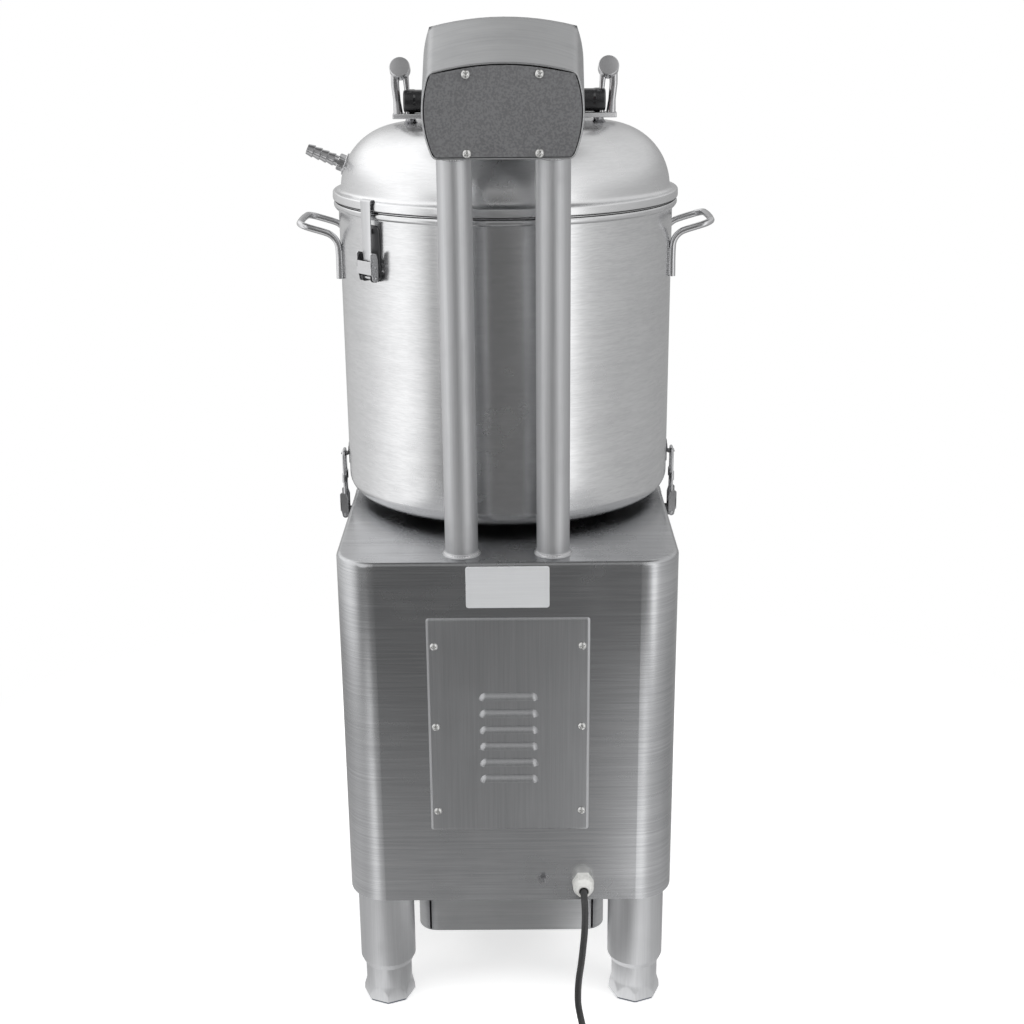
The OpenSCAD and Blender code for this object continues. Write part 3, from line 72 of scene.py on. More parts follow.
def new_group(name: str, inputs: Sequence[tuple[str, str, object]], outputs: Sequence[
        tuple[str, str]]) -> tuple[Tree, bpy.types.Node, bpy.types.Node]:
    """Makes an empty shader node group with named sockets.

    Args:
        name: The group's name.
        inputs: Name, socket type and default value of each input.
        outputs: Name and socket type of each output.

    Returns:
        The group, its input node and its output node.
    """
    group = bpy.data.node_groups.new(name, "ShaderNodeTree")
    for label, kind, default in inputs:
        socket = group.interface.new_socket(name=label, in_out="INPUT", socket_type=kind)
        if default is not None:
            socket.default_value = default
    for label, kind in outputs:
        group.interface.new_socket(name=label, in_out="OUTPUT", socket_type=kind)
    return group, group.nodes.new("NodeGroupInput"), group.nodes.new("NodeGroupOutput")


def arithmetic(tree: Tree, operation: str, *operands: Union[Socket, float]) -> Socket:
    """Adds a Math node.

    Args:
        tree: Node tree that gets the node.
        operation: The node's operation.
        operands: Sockets or numbers, in the node's order.

    Returns:
        The result's socket.
    """
    node = tree.nodes.new("ShaderNodeMath")
    node.operation = operation
    for index, operand in enumerate(operands):
        if isinstance(operand, (int, float)):
            node.inputs[index].default_value = operand
        else:
            tree.links.new(operand, node.inputs[index])
    return node.outputs[0]


def ramp(tree: Tree, value: Socket, low: float, high: float, to_low: float = 0.0,
        to_high: float = 1.0) -> Socket:
    """Maps a value smoothly from one range to another.

    Args:
        tree: Node tree that gets the node.
        value: Socket with the value.
        low: Value that becomes to_low.
        high: Value that becomes to_high.
        to_low: Result at low.
        to_high: Result at high.

    Returns:
        The result's socket.
    """
    node = tree.nodes.new("ShaderNodeMapRange")
    node.interpolation_type = "SMOOTHSTEP"
    tree.links.new(value, node.inputs["Value"])
    for label, number in (("From Min", low), ("From Max", high), ("To Min", to_low), ("To Max", to_high)):
        node.inputs[label].default_value = number
    return node.outputs["Result"]


def noise(tree: Tree, vector: Socket, scale: Socket, detail: float, rough: float = 0.5) -> Socket:
    """Adds a noise texture.

    Args:
        tree: Node tree that gets the node.
        vector: Socket with the place.
        scale: Socket with the scale.
        detail: Number of finer layers.
        rough: Weight of the finer layers.

    Returns:
        The noise value's socket.
    """
    node = tree.nodes.new("ShaderNodeTexNoise")
    node.inputs["Detail"].default_value = detail
    node.inputs["Roughness"].default_value = rough
    tree.links.new(vector, node.inputs["Vector"])
    tree.links.new(scale, node.inputs["Scale"])
    return node.outputs["Fac"]


def parts_of(tree: Tree, vector: Socket) -> bpy.types.bpy_prop_collection:
    """Splits a vector.

    Args:
        tree: Node tree.
        vector: Socket that gives the vector.

    Returns:
        The sockets X, Y and Z.
    """
    node = tree.nodes.new("ShaderNodeSeparateXYZ")
    tree.links.new(vector, node.inputs[0])
    return node.outputs


def distance(tree: Tree, vector: Socket) -> Socket:
    """Measures a vector's length.

    Args:
        tree: Node tree.
        vector: Socket that gives the vector.

    Returns:
        The socket that gives the length.
    """
    node = tree.nodes.new("ShaderNodeVectorMath")
    node.operation = "LENGTH"
    tree.links.new(vector, node.inputs[0])
    return node.outputs["Value"]


def brushed_group() -> Tree:
    """Makes the group for sheet with fine parallel scratches: noise drawn out along the lay, at two scales.

    Where Level is 1, the place along Y is added to the height on flat tops, so that the lines stay level on
    every upright face and still show on a top.

    Returns:
        The group, whose outputs are a mask round 0.5 and a height.
    """
    group, source, sink = new_group(
        "Brushed lines",
        [("Vector", "NodeSocketVector", None), ("Normal", "NodeSocketVector", None),
         ("Level", "NodeSocketFloat", 0.0), ("Stretch", "NodeSocketVector", (0.012, 1.0, 1.0)),
         ("Lines", "NodeSocketFloat", 900.0)],
        [("Mask", "NodeSocketFloat"), ("Height", "NodeSocketFloat")],
    )
    place = parts_of(group, source.outputs["Vector"])
    upwards = arithmetic(group, "ABSOLUTE", parts_of(group, source.outputs["Normal"])["Z"])
    flat = arithmetic(group, "MULTIPLY", ramp(group, upwards, 0.6, 0.8), source.outputs["Level"])
    level = group.nodes.new("ShaderNodeCombineXYZ")
    for axis in "XY":
        group.links.new(place[axis], level.inputs[axis])
    group.links.new(arithmetic(group, "MULTIPLY_ADD", flat, place["Y"], place["Z"]), level.inputs["Z"])
    drawn = group.nodes.new("ShaderNodeVectorMath")
    drawn.operation = "MULTIPLY"
    group.links.new(level.outputs[0], drawn.inputs[0])
    group.links.new(source.outputs["Stretch"], drawn.inputs[1])
    lines = source.outputs["Lines"]
    fine = noise(group, drawn.outputs[0], lines, 3.0)
    coarse = noise(group, drawn.outputs[0], arithmetic(group, "MULTIPLY", lines, 0.22), 2.0)
    both = arithmetic(group, "MULTIPLY_ADD", fine, 0.6, arithmetic(group, "MULTIPLY", coarse, 0.4))
    group.links.new(ramp(group, both, 0.3, 0.7), sink.inputs["Mask"])
    group.links.new(both, sink.inputs["Height"])
    return group


def handling_group() -> Tree:
    """Makes the group for the cloudy marks that hands and cloths leave: two soft noises multiplied.

    Returns:
        The group, whose output is a mask from 0, clean, to 1, marked.
    """
    group, source, sink = new_group(
        "Handling marks",
        [("Vector", "NodeSocketVector", None), ("Size", "NodeSocketFloat", 7.0)],
        [("Mask", "NodeSocketFloat")],
    )
    values = []
    for factor, detail in ((1.0, 4.0), (3.7, 6.0)):
        scale = arithmetic(group, "MULTIPLY", source.outputs["Size"], factor)
        values.append(ramp(group, noise(group, source.outputs["Vector"], scale, detail, 0.6), 0.38, 0.68))
    finer = arithmetic(group, "MULTIPLY_ADD", values[1], 0.6, 0.4)
    group.links.new(arithmetic(group, "MULTIPLY", values[0], finer), sink.inputs["Mask"])
    return group


def grit_group() -> Tree:
    """Makes the group for grains: rounded cells whose height falls from the middle, broken up by noise.

    Returns:
        The group, whose outputs are a shade mask and a height.
    """
    group, source, sink = new_group(
        "Grit",
        [("Vector", "NodeSocketVector", None), ("Scale", "NodeSocketFloat", 600.0)],
        [("Mask", "NodeSocketFloat"), ("Height", "NodeSocketFloat")],
    )
    cells = group.nodes.new("ShaderNodeTexVoronoi")
    group.links.new(source.outputs["Vector"], cells.inputs["Vector"])
    group.links.new(source.outputs["Scale"], cells.inputs["Scale"])
    coarse = arithmetic(group, "MULTIPLY", source.outputs["Scale"], 0.5)
    speck = noise(group, source.outputs["Vector"], coarse, 4.0)
    height = arithmetic(group, "SUBTRACT", 1.0, cells.outputs["Distance"])
    group.links.new(ramp(group, speck, 0.4, 0.6), sink.inputs["Mask"])
    group.links.new(arithmetic(group, "MULTIPLY", height, speck), sink.inputs["Height"])
    return group


GROUPS: dict[str, bpy.types.NodeTree] = {}


def shared_group(name: str) -> Tree:
    """Builds a shared group the first time that it is asked for.

    Args:
        name: The group's short name.

    Returns:
        The group.
    """
    makers = {"brushed": brushed_group, "handling": handling_group, "grit": grit_group}
    if name not in GROUPS:
        GROUPS[name] = makers[name]()
    return GROUPS[name]


# Finishes


@dataclass(frozen=True)
class Finish:
    """A surface: one Principled shader fed by the shared groups.

    Args:
        name: Material name.
        colour: Main colour, linear.
        dark: Colour in the marks, grooves and specks, linear.
        metallic: 1 on metal, 0 on plastic, rubber and paint.
        rough: Roughness of a clean place.
        rough_marks: Roughness added in the marks.
        lay: Direction of the brushed lines.
        lines: Lines per metre of the finest scratches.
        brush: How much of the dark colour the lines show.
        brush_bump: Height of the lines, in metres.
        grit: Cells per metre of a grainy surface, or 0.
        grit_bump: Height of the grains, in metres.
        grit_shade: How much of the dark colour the grains show.
        marks: How much of the dark colour the handling marks show.
        coat: Weight of a clear coat.
        specular: Specular level.
    """

    name: str
    colour: Colour
    dark: Colour
    metallic: float = 1.0
    rough: float = 0.3
    rough_marks: float = 0.1
    lay: Lay = Lay.NONE
    lines: float = 0.0
    brush: float = 0.0
    brush_bump: float = 0.0
    grit: float = 0.0
    grit_bump: float = 0.0
    grit_shade: float = 0.0
    marks: float = 0.2
    coat: float = 0.0
    specular: float = 0.5

    def material(self) -> bpy.types.Material:
        """Returns this finish's material, building it the first time."""
        made = bpy.data.materials.get(self.name)
        if made is not None:
            return made
        made = bpy.data.materials.new(self.name)
        made.use_nodes = True
        made.diffuse_color = (*self.colour, 1.0)
        tree = made.node_tree
        tree.nodes.clear()
        out = tree.nodes.new("ShaderNodeOutputMaterial")
        shader = tree.nodes.new("ShaderNodeBsdfPrincipled")
        tree.links.new(shader.outputs["BSDF"], out.inputs["Surface"])
        shader.inputs["Metallic"].default_value = self.metallic
        shader.inputs["Specular IOR Level"].default_value = self.specular
        if self.coat > 0.0:
            shader.inputs["Coat Weight"].default_value = self.coat
            shader.inputs["Coat Roughness"].default_value = 0.08
        where = tree.nodes.new("ShaderNodeTexCoord").outputs["Object"]
        self._wire(tree, shader, where)
        return made

    def _group(self, tree: Tree, name: str, where: Socket, **values: object) -> bpy.types.Node:
        """Places a shared group in the material and sets its inputs.

        Args:
            tree: The material's node tree.
            name: The group's short name.
            where: Socket with the place on the object.
            values: Value of each input that isn't linked.

        Returns:
            The group's node.
        """
        node = tree.nodes.new("ShaderNodeGroup")
        node.node_tree = shared_group(name)
        tree.links.new(where, node.inputs["Vector"])
        for label, value in values.items():
            node.inputs[label].default_value = value
        return node

    def _wire(self, tree: Tree, shader: bpy.types.Node, where: Socket) -> None:
        """Mixes the colour, roughness and bump from the groups and links them to the shader.

        Args:
            tree: The material's node tree.
            shader: The Principled shader.
            where: Socket with the place on the object.
        """
        marks = self._group(tree, "handling", where).outputs["Mask"]
        shade = arithmetic(tree, "MULTIPLY", marks, self.marks)
        height = None
        if self.lines > 0.0:
            node = self._group(tree, "brushed", where, Stretch=self.lay.value, Lines=self.lines, Level=float(
                self.lay is Lay.LEVEL))
            tree.links.new(where.node.outputs["Normal"], node.inputs["Normal"])
            shade = arithmetic(tree, "MULTIPLY_ADD", node.outputs["Mask"], self.brush, shade)
            height = arithmetic(tree, "MULTIPLY", node.outputs["Height"], self.brush_bump)
        if self.grit > 0.0:
            node = self._group(tree, "grit", where, Scale=self.grit)
            shade = arithmetic(tree, "MULTIPLY_ADD", node.outputs["Mask"], self.grit_shade, shade)
            grains = arithmetic(tree, "MULTIPLY", node.outputs["Height"], self.grit_bump)
            height = grains if height is None else arithmetic(tree, "ADD", height, grains)
        mix = tree.nodes.new("ShaderNodeMix")
        mix.data_type = "RGBA"
        mix.inputs["A"].default_value = (*self.colour, 1.0)
        mix.inputs["B"].default_value = (*self.dark, 1.0)
        tree.links.new(shade, mix.inputs["Factor"])
        tree.links.new(mix.outputs["Result"], shader.inputs["Base Color"])
        rough = arithmetic(tree, "MULTIPLY_ADD", marks, self.rough_marks, self.rough)
        tree.links.new(rough, shader.inputs["Roughness"])
        if height is not None:
            bump = tree.nodes.new("ShaderNodeBump")
            bump.inputs["Distance"].default_value = 1.0
            bump.inputs["Strength"].default_value = 1.0
            tree.links.new(height, bump.inputs["Height"])
            tree.links.new(bump.outputs["Normal"], shader.inputs["Normal"])


STEEL: Colour = (0.56, 0.565, 0.575)
STEEL_DARK: Colour = (0.36, 0.365, 0.375)


@dataclass(frozen=True)
class FinishSet:
    """All finishes of the peeler, by what they are on."""

    cabinet: Finish = Finish("Cabinet sheet", STEEL, STEEL_DARK, rough=0.22, lay=Lay.LEVEL, lines=1400.0,
        brush=0.55, brush_bump=0.00003, marks=0.25)
    panel: Finish = Finish("Panel sheet", (0.50, 0.505, 0.515), STEEL_DARK, rough=0.38, lay=Lay.ALONG_Z,
        lines=1400.0, brush=0.5, brush_bump=0.00002, marks=0.25)
    drum: Finish = Finish("Drum sheet", (0.72, 0.723, 0.73), (0.5, 0.503, 0.51), rough=0.21, lay=Lay.ROUND,
        lines=900.0, brush=0.4, brush_bump=0.00001, marks=0.2)
    lid: Finish = Finish("Spun lid", (0.78, 0.783, 0.79), (0.6, 0.603, 0.61), rough=0.25, lay=Lay.ROUND,
        lines=900.0, brush=0.3, brush_bump=0.00001, marks=0.15)
    tube: Finish = Finish("Polished tube", (0.60, 0.605, 0.615), (0.42, 0.42, 0.43), rough=0.48,
        lay=Lay.ALONG_Z, lines=1100.0, brush=0.35, brush_bump=0.00001, marks=0.2)
    rod: Finish = Finish("Polished rod", (0.62, 0.62, 0.63), (0.45, 0.45, 0.46), rough=0.2, lines=600.0,
        brush=0.2, brush_bump=0.000005, marks=0.2)
    strap: Finish = Finish("Latch strap", (0.66, 0.665, 0.675), (0.48, 0.48, 0.49), rough=0.34,
        lay=Lay.ALONG_Z, lines=1300.0, brush=0.35, brush_bump=0.00001, marks=0.25)
    # Painted shade: the latch base plates and keepers are steel like the straps, and this dark colour stands
    # in for the shadow and dark reflection that fall on them.
    shaded_latch_backing: Finish = Finish("Latch base", (0.16, 0.16, 0.165), (0.09, 0.09, 0.095), metallic=0.8,
        rough=0.34, lay=Lay.ALONG_Z, lines=1200.0, brush=0.4, brush_bump=0.00001, marks=0.3)
    box: Finish = Finish("Box sheet", (0.50, 0.505, 0.51), STEEL_DARK, rough=0.36, lay=Lay.LEVEL,
        lines=1300.0, brush=0.5, brush_bump=0.00002, marks=0.25)
    speckled: Finish = Finish("Speckled plate", (0.20, 0.202, 0.207), (0.12, 0.12, 0.125), metallic=0.55,
        rough=0.6, grit=950.0, grit_bump=0.00006, grit_shade=0.6, marks=0.25)
    label: Finish = Finish("Blank nameplate", (0.66, 0.67, 0.68), (0.5, 0.5, 0.52), metallic=0.2, rough=0.4,
        lay=Lay.ALONG_X, lines=1600.0, brush=0.25, brush_bump=0.000005, marks=0.15)
    fastener: Finish = Finish("Plated fastener", (0.68, 0.68, 0.67), (0.45, 0.45, 0.44), rough=0.26,
        grit=900.0, grit_bump=0.00002, grit_shade=0.25, marks=0.3)
    machined: Finish = Finish("Machined steel", (0.52, 0.52, 0.53), (0.34, 0.34, 0.35), rough=0.32,
        lay=Lay.ROUND, lines=700.0, brush=0.4, brush_bump=0.00001, marks=0.3)
    cast: Finish = Finish("Cast grey", (0.28, 0.285, 0.29), (0.19, 0.19, 0.195), metallic=0.7, rough=0.55,
        grit=700.0, grit_bump=0.00012, grit_shade=0.4, marks=0.3)
    paint: Finish = Finish("Motor paint", (0.07, 0.10, 0.14), (0.045, 0.06, 0.085), metallic=0.0, rough=0.45,
        grit=420.0, grit_bump=0.00008, grit_shade=0.3, marks=0.3, coat=0.2)
    nylon: Finish = Finish("White nylon", (0.70, 0.70, 0.68), (0.56, 0.56, 0.54), metallic=0.0, rough=0.42,
        grit=500.0, grit_bump=0.00003, grit_shade=0.2, marks=0.25)
    black: Finish = Finish("Black plastic", (0.012, 0.012, 0.013), (0.03, 0.03, 0.03), metallic=0.0,
        rough=0.28, grit=1200.0, grit_bump=0.00002, grit_shade=0.25, marks=0.3, coat=0.25)
    gloss: Finish = Finish("Gloss grip", (0.010, 0.010, 0.011), (0.022, 0.022, 0.023), metallic=0.0,
        rough=0.16, grit=300.0, grit_bump=0.00001, grit_shade=0.2, marks=0.3, coat=0.6)
    rubber: Finish = Finish("Black rubber", (0.022, 0.022, 0.023), (0.045, 0.045, 0.046), metallic=0.0,
        rough=0.62, grit=900.0, grit_bump=0.00005, grit_shade=0.35, marks=0.4, specular=0.4)
    pad: Finish = Finish("Foot pad", (0.10, 0.12, 0.15), (0.06, 0.07, 0.09), metallic=0.0, rough=0.6,
        grit=800.0, grit_bump=0.00005, grit_shade=0.35, marks=0.4)
    abrasive: Finish = Finish("Abrasive", (0.11, 0.10, 0.095), (0.24, 0.22, 0.20), metallic=0.0, rough=0.9,
        grit=520.0, grit_bump=0.0009, grit_shade=0.7, marks=0.3, specular=0.3)
    green: Finish = Finish("Green cap", (0.02, 0.22, 0.06), (0.012, 0.15, 0.04), metallic=0.0, rough=0.35,
        grit=900.0, grit_bump=0.00002, grit_shade=0.3, marks=0.3, coat=0.2)
    red: Finish = Finish("Red cap", (0.46, 0.02, 0.018), (0.32, 0.012, 0.012), metallic=0.0, rough=0.35,
        grit=900.0, grit_bump=0.00002, grit_shade=0.3, marks=0.3, coat=0.2)
    jacket: Finish = Finish("Cord jacket", (0.035, 0.035, 0.036), (0.06, 0.06, 0.06), metallic=0.0,
        rough=0.5, grit=1100.0, grit_bump=0.00003, grit_shade=0.3, marks=0.35, specular=0.4)


FINISHES = FinishSet()


def dress(node: str, finish: Finish) -> None:
    """Gives a CAD node one finish in all its material slots.

    Args:
        node: Name of the node.
        finish: Its finish.
    """
    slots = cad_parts[node].material_slots
    if not slots:
        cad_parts[node].data.materials.append(finish.material())
    for place in slots:
        place.material = finish.material()


# Surfaces

MM = 0.001


def unit(vectors: np.ndarray) -> np.ndarray:
    """Scales each row to length 1."""
    return vectors / np.linalg.norm(vectors, axis=-1, keepdims=True)


def frame_at(origin: Vector3, z_axis: Vector3, x_hint: Vector3 = (1.0, 0.0, 0.0)) -> tuple[np.ndarray,
        np.ndarray]:
    """Makes a right-handed frame whose z runs along an axis and whose x lies nearest a hint.

    Args:
        origin: Origin in mm.
        z_axis: Direction of the frame's z.
        x_hint: Direction that x is drawn towards.

    Returns:
        The origin, and the three axes as rows.
    """
    z = unit(np.asarray(z_axis, float))
    x = np.asarray(x_hint, float)
    x = unit(x - z * (x @ z))
    return np.asarray(origin, float), np.array([x, np.cross(z, x), z])


def spin(degrees: float) -> np.ndarray:
    """Makes the axes, as rows, of a frame that is turned about z."""
    c, s = math.cos(math.radians(degrees)), math.sin(math.radians(degrees))
    return np.array([[c, s, 0.0], [-s, c, 0.0], [0.0, 0.0, 1.0]])


class Shape:
    """Points in mm and faces, gathered from grids, before they become one object."""

    def __init__(self) -> None:
        """Starts empty."""
        self.points: list[np.ndarray] = []
        self.faces: list[np.ndarray] = []
        self.count = 0

    def grid(self, points: np.ndarray, close_u: bool = False, close_v: bool = False) -> "Shape":
        """Adds a grid of points P(u, v) as quads between neighbours, wrapped where it is closed.

        Args:
            points: Array of rows by columns by 3.
            close_u: Joins the last row to the first.
            close_v: Joins the last column to the first.

        Returns:
            This shape.
        """
        rows, cols = points.shape[:2]
        u = np.arange(rows if close_u else rows - 1)
        v = np.arange(cols if close_v else cols - 1)
        a, b = np.meshgrid(u, v, indexing="ij")
        c, d = (a + 1) % rows, (b + 1) % cols
        corners = np.stack([a * cols + b, c * cols + b, c * cols + d, a * cols + d], axis=-1)
        self.points.append(points.reshape(-1, 3))
        self.faces.append(corners.reshape(-1, 4) + self.count)
        self.count += rows * cols
        return self

    def join(self, *others: "Shape") -> "Shape":
        """Adds the grids of other shapes.

        Args:
            others: Shapes whose points and faces are added.

        Returns:
            This shape.
        """
        for other in others:
            self.points.extend(other.points)
            self.faces.extend(corners + self.count for corners in other.faces)
            self.count += other.count
        return self

    def placed(self, origin: np.ndarray, axes: np.ndarray) -> "Shape":
        """Takes the points from a local frame to the row frame: origin + x, y, z times the axes."""
        self.points = [points @ axes + origin for points in self.points]
        return self

    def copied(self) -> "Shape":
        """Returns a copy that can be placed by itself."""
        return Shape().join(self)

    def moved(self, offset: Vector3) -> "Shape":
        """Returns a copy that is moved by an offset in mm."""
        return self.copied().placed(np.asarray(offset, float), np.eye(3))

    def turned(self, degrees: float) -> "Shape":
        """Returns a copy that is turned about the drum's axis."""
        return self.copied().placed(np.zeros(3), spin(degrees))

    def mirrored(self) -> "Shape":
        """Returns a copy that is mirrored across the plane x = 0."""
        return self.copied().placed(np.zeros(3), np.diag([-1.0, 1.0, 1.0]))

    def piece(self, name: str, finish: Finish, body: str, nodes: Sequence[str] = (), slot: str = "",
              sharp: float = 32.0, merge: float = 0.00002) -> bpy.types.Object:
        """Makes the object: doubles merged, normals outwards, smooth but for edges over an angle.

        Args:
            name: Name of the object.
            finish: Finish of its surface.
            body: CAD body that it rides on.
            nodes: CAD nodes that it stands for.
            slot: Material slot of the record; not used.
            sharp: Angle, in degrees, over which an edge stays sharp.
            merge: Distance under which points are merged, in metres.

        Returns:
            The object, riding on its body.
        """
        mesh = bpy.data.meshes.new(name)
        mesh.from_pydata(np.concatenate(self.points) * MM, [], np.concatenate(self.faces).tolist())
        clean_mesh(mesh, merge)
        mesh.polygons.foreach_set("use_smooth", np.ones(len(mesh.polygons), dtype=bool))
        mesh.set_sharp_from_angle(angle=math.radians(sharp))
        mesh.materials.append(finish.material())
        made = bpy.data.objects.new(name, mesh)
        bpy.context.scene.collection.objects.link(made)
        if nodes:
            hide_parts(*nodes)
        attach(made, body)
        LOG.info("%s: %d faces, rides on %s", name, len(mesh.polygons), body)
        return made


def clean_mesh(mesh: bpy.types.Mesh, merge: float) -> None:
    """Merges doubles, drops faces that have no area and turns the normals outwards.

    Args:
        mesh: Mesh that is changed.
        merge: Distance under which points are merged, in metres.
    """
    work = bmesh.new()
    work.from_mesh(mesh)
    bmesh.ops.remove_doubles(work, verts=work.verts, dist=merge)
    bmesh.ops.dissolve_degenerate(work, edges=work.edges, dist=1e-6)
    bmesh.ops.recalc_face_normals(work, faces=work.faces)
    work.to_mesh(mesh)
    work.free()
    mesh.update()


def lathe(profile: Sequence[tuple[float, float]], sides: int = 48,
          radius_of: Optional[RadiusOf] = None) -> Shape:
    """Turns a profile about z: P = (r cos a, r sin a, z).

    Args:
        profile: Points (r, z) in mm; ends on the axis close the shape.
        sides: Steps round the axis.
        radius_of: Optional function of (r, z, a) that returns the radius there.

    Returns:
        The shape.
    """
    line = np.asarray(profile, float)
    angle = np.linspace(0.0, 2.0 * math.pi, sides, endpoint=False)
    r = np.repeat(line[:, :1], sides, axis=1)
    z = np.repeat(line[:, 1:2], sides, axis=1)
    a = np.repeat(angle[None, :], len(line), axis=0)
    if radius_of is not None:
        r = radius_of(r, z, a)
    return Shape().grid(np.stack([r * np.cos(a), r * np.sin(a), z], axis=-1), close_v=True)


def fillet(profile: Sequence[tuple[float, float]], radii: Sequence[float], steps: int = 6) -> np.ndarray:
    """Rounds the corners of an open profile with arcs that touch both its sides.

    Args:
        profile: Points of the profile.
        radii: Radius at each point; 0 keeps it sharp.
        steps: Steps in each arc.

    Returns:
        The rounded profile's points.
    """
    line = np.asarray(profile, float)
    rounded = [line[:1]]
    for before, corner, after, radius in zip(line[:-2], line[1:-1], line[2:], radii[1:-1]):
        if radius <= 0.0:
            rounded.append(corner[None])
            continue
        a, b = unit(before - corner), unit(after - corner)
        half = math.acos(float(np.clip(a @ b, -1.0, 1.0))) / 2.0
        reach = min(radius / math.tan(half), np.linalg.norm(before - corner) * 0.49, np.linalg.norm(
            after - corner) * 0.49)
        s = np.linspace(0.0, 1.0, steps + 1)[:, None]
        start, end = corner + a * reach, corner + b * reach
        rounded.append((1 - s) ** 2 * start + 2 * s * (1 - s) * (0.12 * (start + end) / 2 + 0.88 * corner)
            + s**2 * end)
    rounded.append(line[-1:])
    return np.concatenate(rounded)


def sweep(path: np.ndarray, radius: Union[float, np.ndarray], sides: int = 20,
          hint: Vector3 = (0.0, 0.0, 1.0), section: Optional[np.ndarray] = None) -> Shape:
    """Carries a section along a path: P = path + x b + y c, with b and c square to the path.

    Args:
        path: Points of the middle line, in mm.
        radius: Radius of a round section, one number or one a point.
        sides: Sides of a round section.
        hint: Direction that the path never runs along; b lies square to it.
        section: Points (x, y) of another section, scaled by the radius.

    Returns:
        The shape, closed with a point at each end.
    """
    line = np.asarray(path, float)
    t = unit(np.gradient(line, axis=0))
    b = unit(np.cross(t, np.asarray(hint, float)))
    c = np.cross(b, t)
    if section is None:
        angle = np.linspace(0.0, 2.0 * math.pi, sides, endpoint=False)
        section = np.stack([np.cos(angle), np.sin(angle)], axis=-1)
    scale = np.broadcast_to(np.asarray(radius, float), (len(line),))[:, None, None]
    rings = line[:, None] + scale * (section[None, :, :1] * b[:, None] + section[None, :, 1:] * c[:, None])
    first, last = (np.broadcast_to(line[k], (1, rings.shape[1], 3)) for k in (0, -1))
    return Shape().grid(np.concatenate([first, rings, last]), close_v=True)


def rounded_path(corners: np.ndarray, radii: Sequence[float], steps: int = 8) -> np.ndarray:
    """Joins corners by straight runs and circular bends: each bend touches both its runs.

    Args:
        corners: Corner points in mm.
        radii: Bend radius at each corner; the ends' values aren't used.
        steps: Steps in each bend.

    Returns:
        The path's points.
    """
    line = np.asarray(corners, float)
    out = [line[:1]]
    for before, corner, after, radius in zip(line[:-2], line[1:-1], line[2:], radii[1:-1]):
        a, b = unit(before - corner), unit(after - corner)
        half = math.acos(float(np.clip(a @ b, -1.0, 1.0))) / 2.0
        middle = corner + unit(a + b) * radius / math.sin(half)
        start = corner + a * radius / math.tan(half) - middle
        end = corner + b * radius / math.tan(half) - middle
        span = math.pi - 2.0 * half
        s = np.linspace(0.0, 1.0, steps + 1)[:, None]
        out.append(middle + (np.sin((1 - s) * span) * start + np.sin(s * span) * end) / math.sin(span))
    out.append(line[-1:])
    return np.concatenate(out)


def resampled(path: np.ndarray, step: float) -> np.ndarray:
    """Spaces a path's points evenly along a smooth curve through them (cubic between neighbours).

    Args:
        path: Points of the path.
        step: Distance between the new points.

    Returns:
        The new points.
    """
    line = np.asarray(path, float)
    gaps = np.linalg.norm(np.diff(line, axis=0), axis=1)
    at = np.concatenate([[0.0], np.cumsum(gaps)])
    slope = np.gradient(line, at, axis=0)
    want = np.linspace(0.0, at[-1], max(2, int(round(at[-1] / step)) + 1))
    i = np.clip(np.searchsorted(at, want, side="right") - 1, 0, len(at) - 2)
    h = (at[i + 1] - at[i])[:, None]
    s = ((want - at[i]) / (at[i + 1] - at[i]))[:, None]
    return ((2 * s**3 - 3 * s**2 + 1) * line[i] + (s**3 - 2 * s**2 + s) * h * slope[i]
            + (3 * s**2 - 2 * s**3) * line[i + 1] + (s**3 - s**2) * h * slope[i + 1])


def slab(outline: np.ndarray, low: float, high: float, edge: float = 0.35) -> Shape:
    """A flat piece: a closed outline carried from low to high along its third axis, with eased edges.

    Args:
        outline: Points (a, b), anticlockwise.
        low: First face.
        high: Second face.
        edge: Width of the eased edges.

    Returns:
        The piece with its thickness along the local z.
    """
    along = unit(np.roll(outline, -1, axis=0) - np.roll(outline, 1, axis=0))
    inwards = np.column_stack([-along[:, 1], along[:, 0]])
    middle = outline.mean(axis=0)
    rows = [(middle, low), (outline + inwards * edge, low), (outline, low + edge), (outline, high - edge),
            (outline + inwards * edge, high), (middle, high)]
    return Shape().grid(np.stack([np.column_stack([np.broadcast_to(p, outline.shape), np.full(len(outline),
        h)]) for p, h in rows]), close_v=True)


def rounded_rectangle(left: float, right: float, low: float, high: float, radii: Sequence[
        float]) -> np.ndarray:
    """Makes a rectangle whose corners are arcs.

    Args:
        left: Lowest a.
        right: Highest a.
        low: Lowest b.
        high: Highest b.
        radii: Radius at each corner, from the top right anticlockwise.

    Returns:
        Points (a, b).
    """
    corners = ((right, high, -1, -1), (left, high, 1, -1), (left, low, 1, 1), (right, low, -1, 1))
    parts = []
    for quarter, ((x, y, sx, sy), r) in enumerate(zip(corners, radii)):
        a = np.radians(np.linspace(0.0, 90.0, 9) + 90.0 * quarter)
        parts.append(np.column_stack([x + sx * r + r * np.cos(a), y + sy * r + r * np.sin(a)]))
    return np.concatenate(parts)


# Power lead


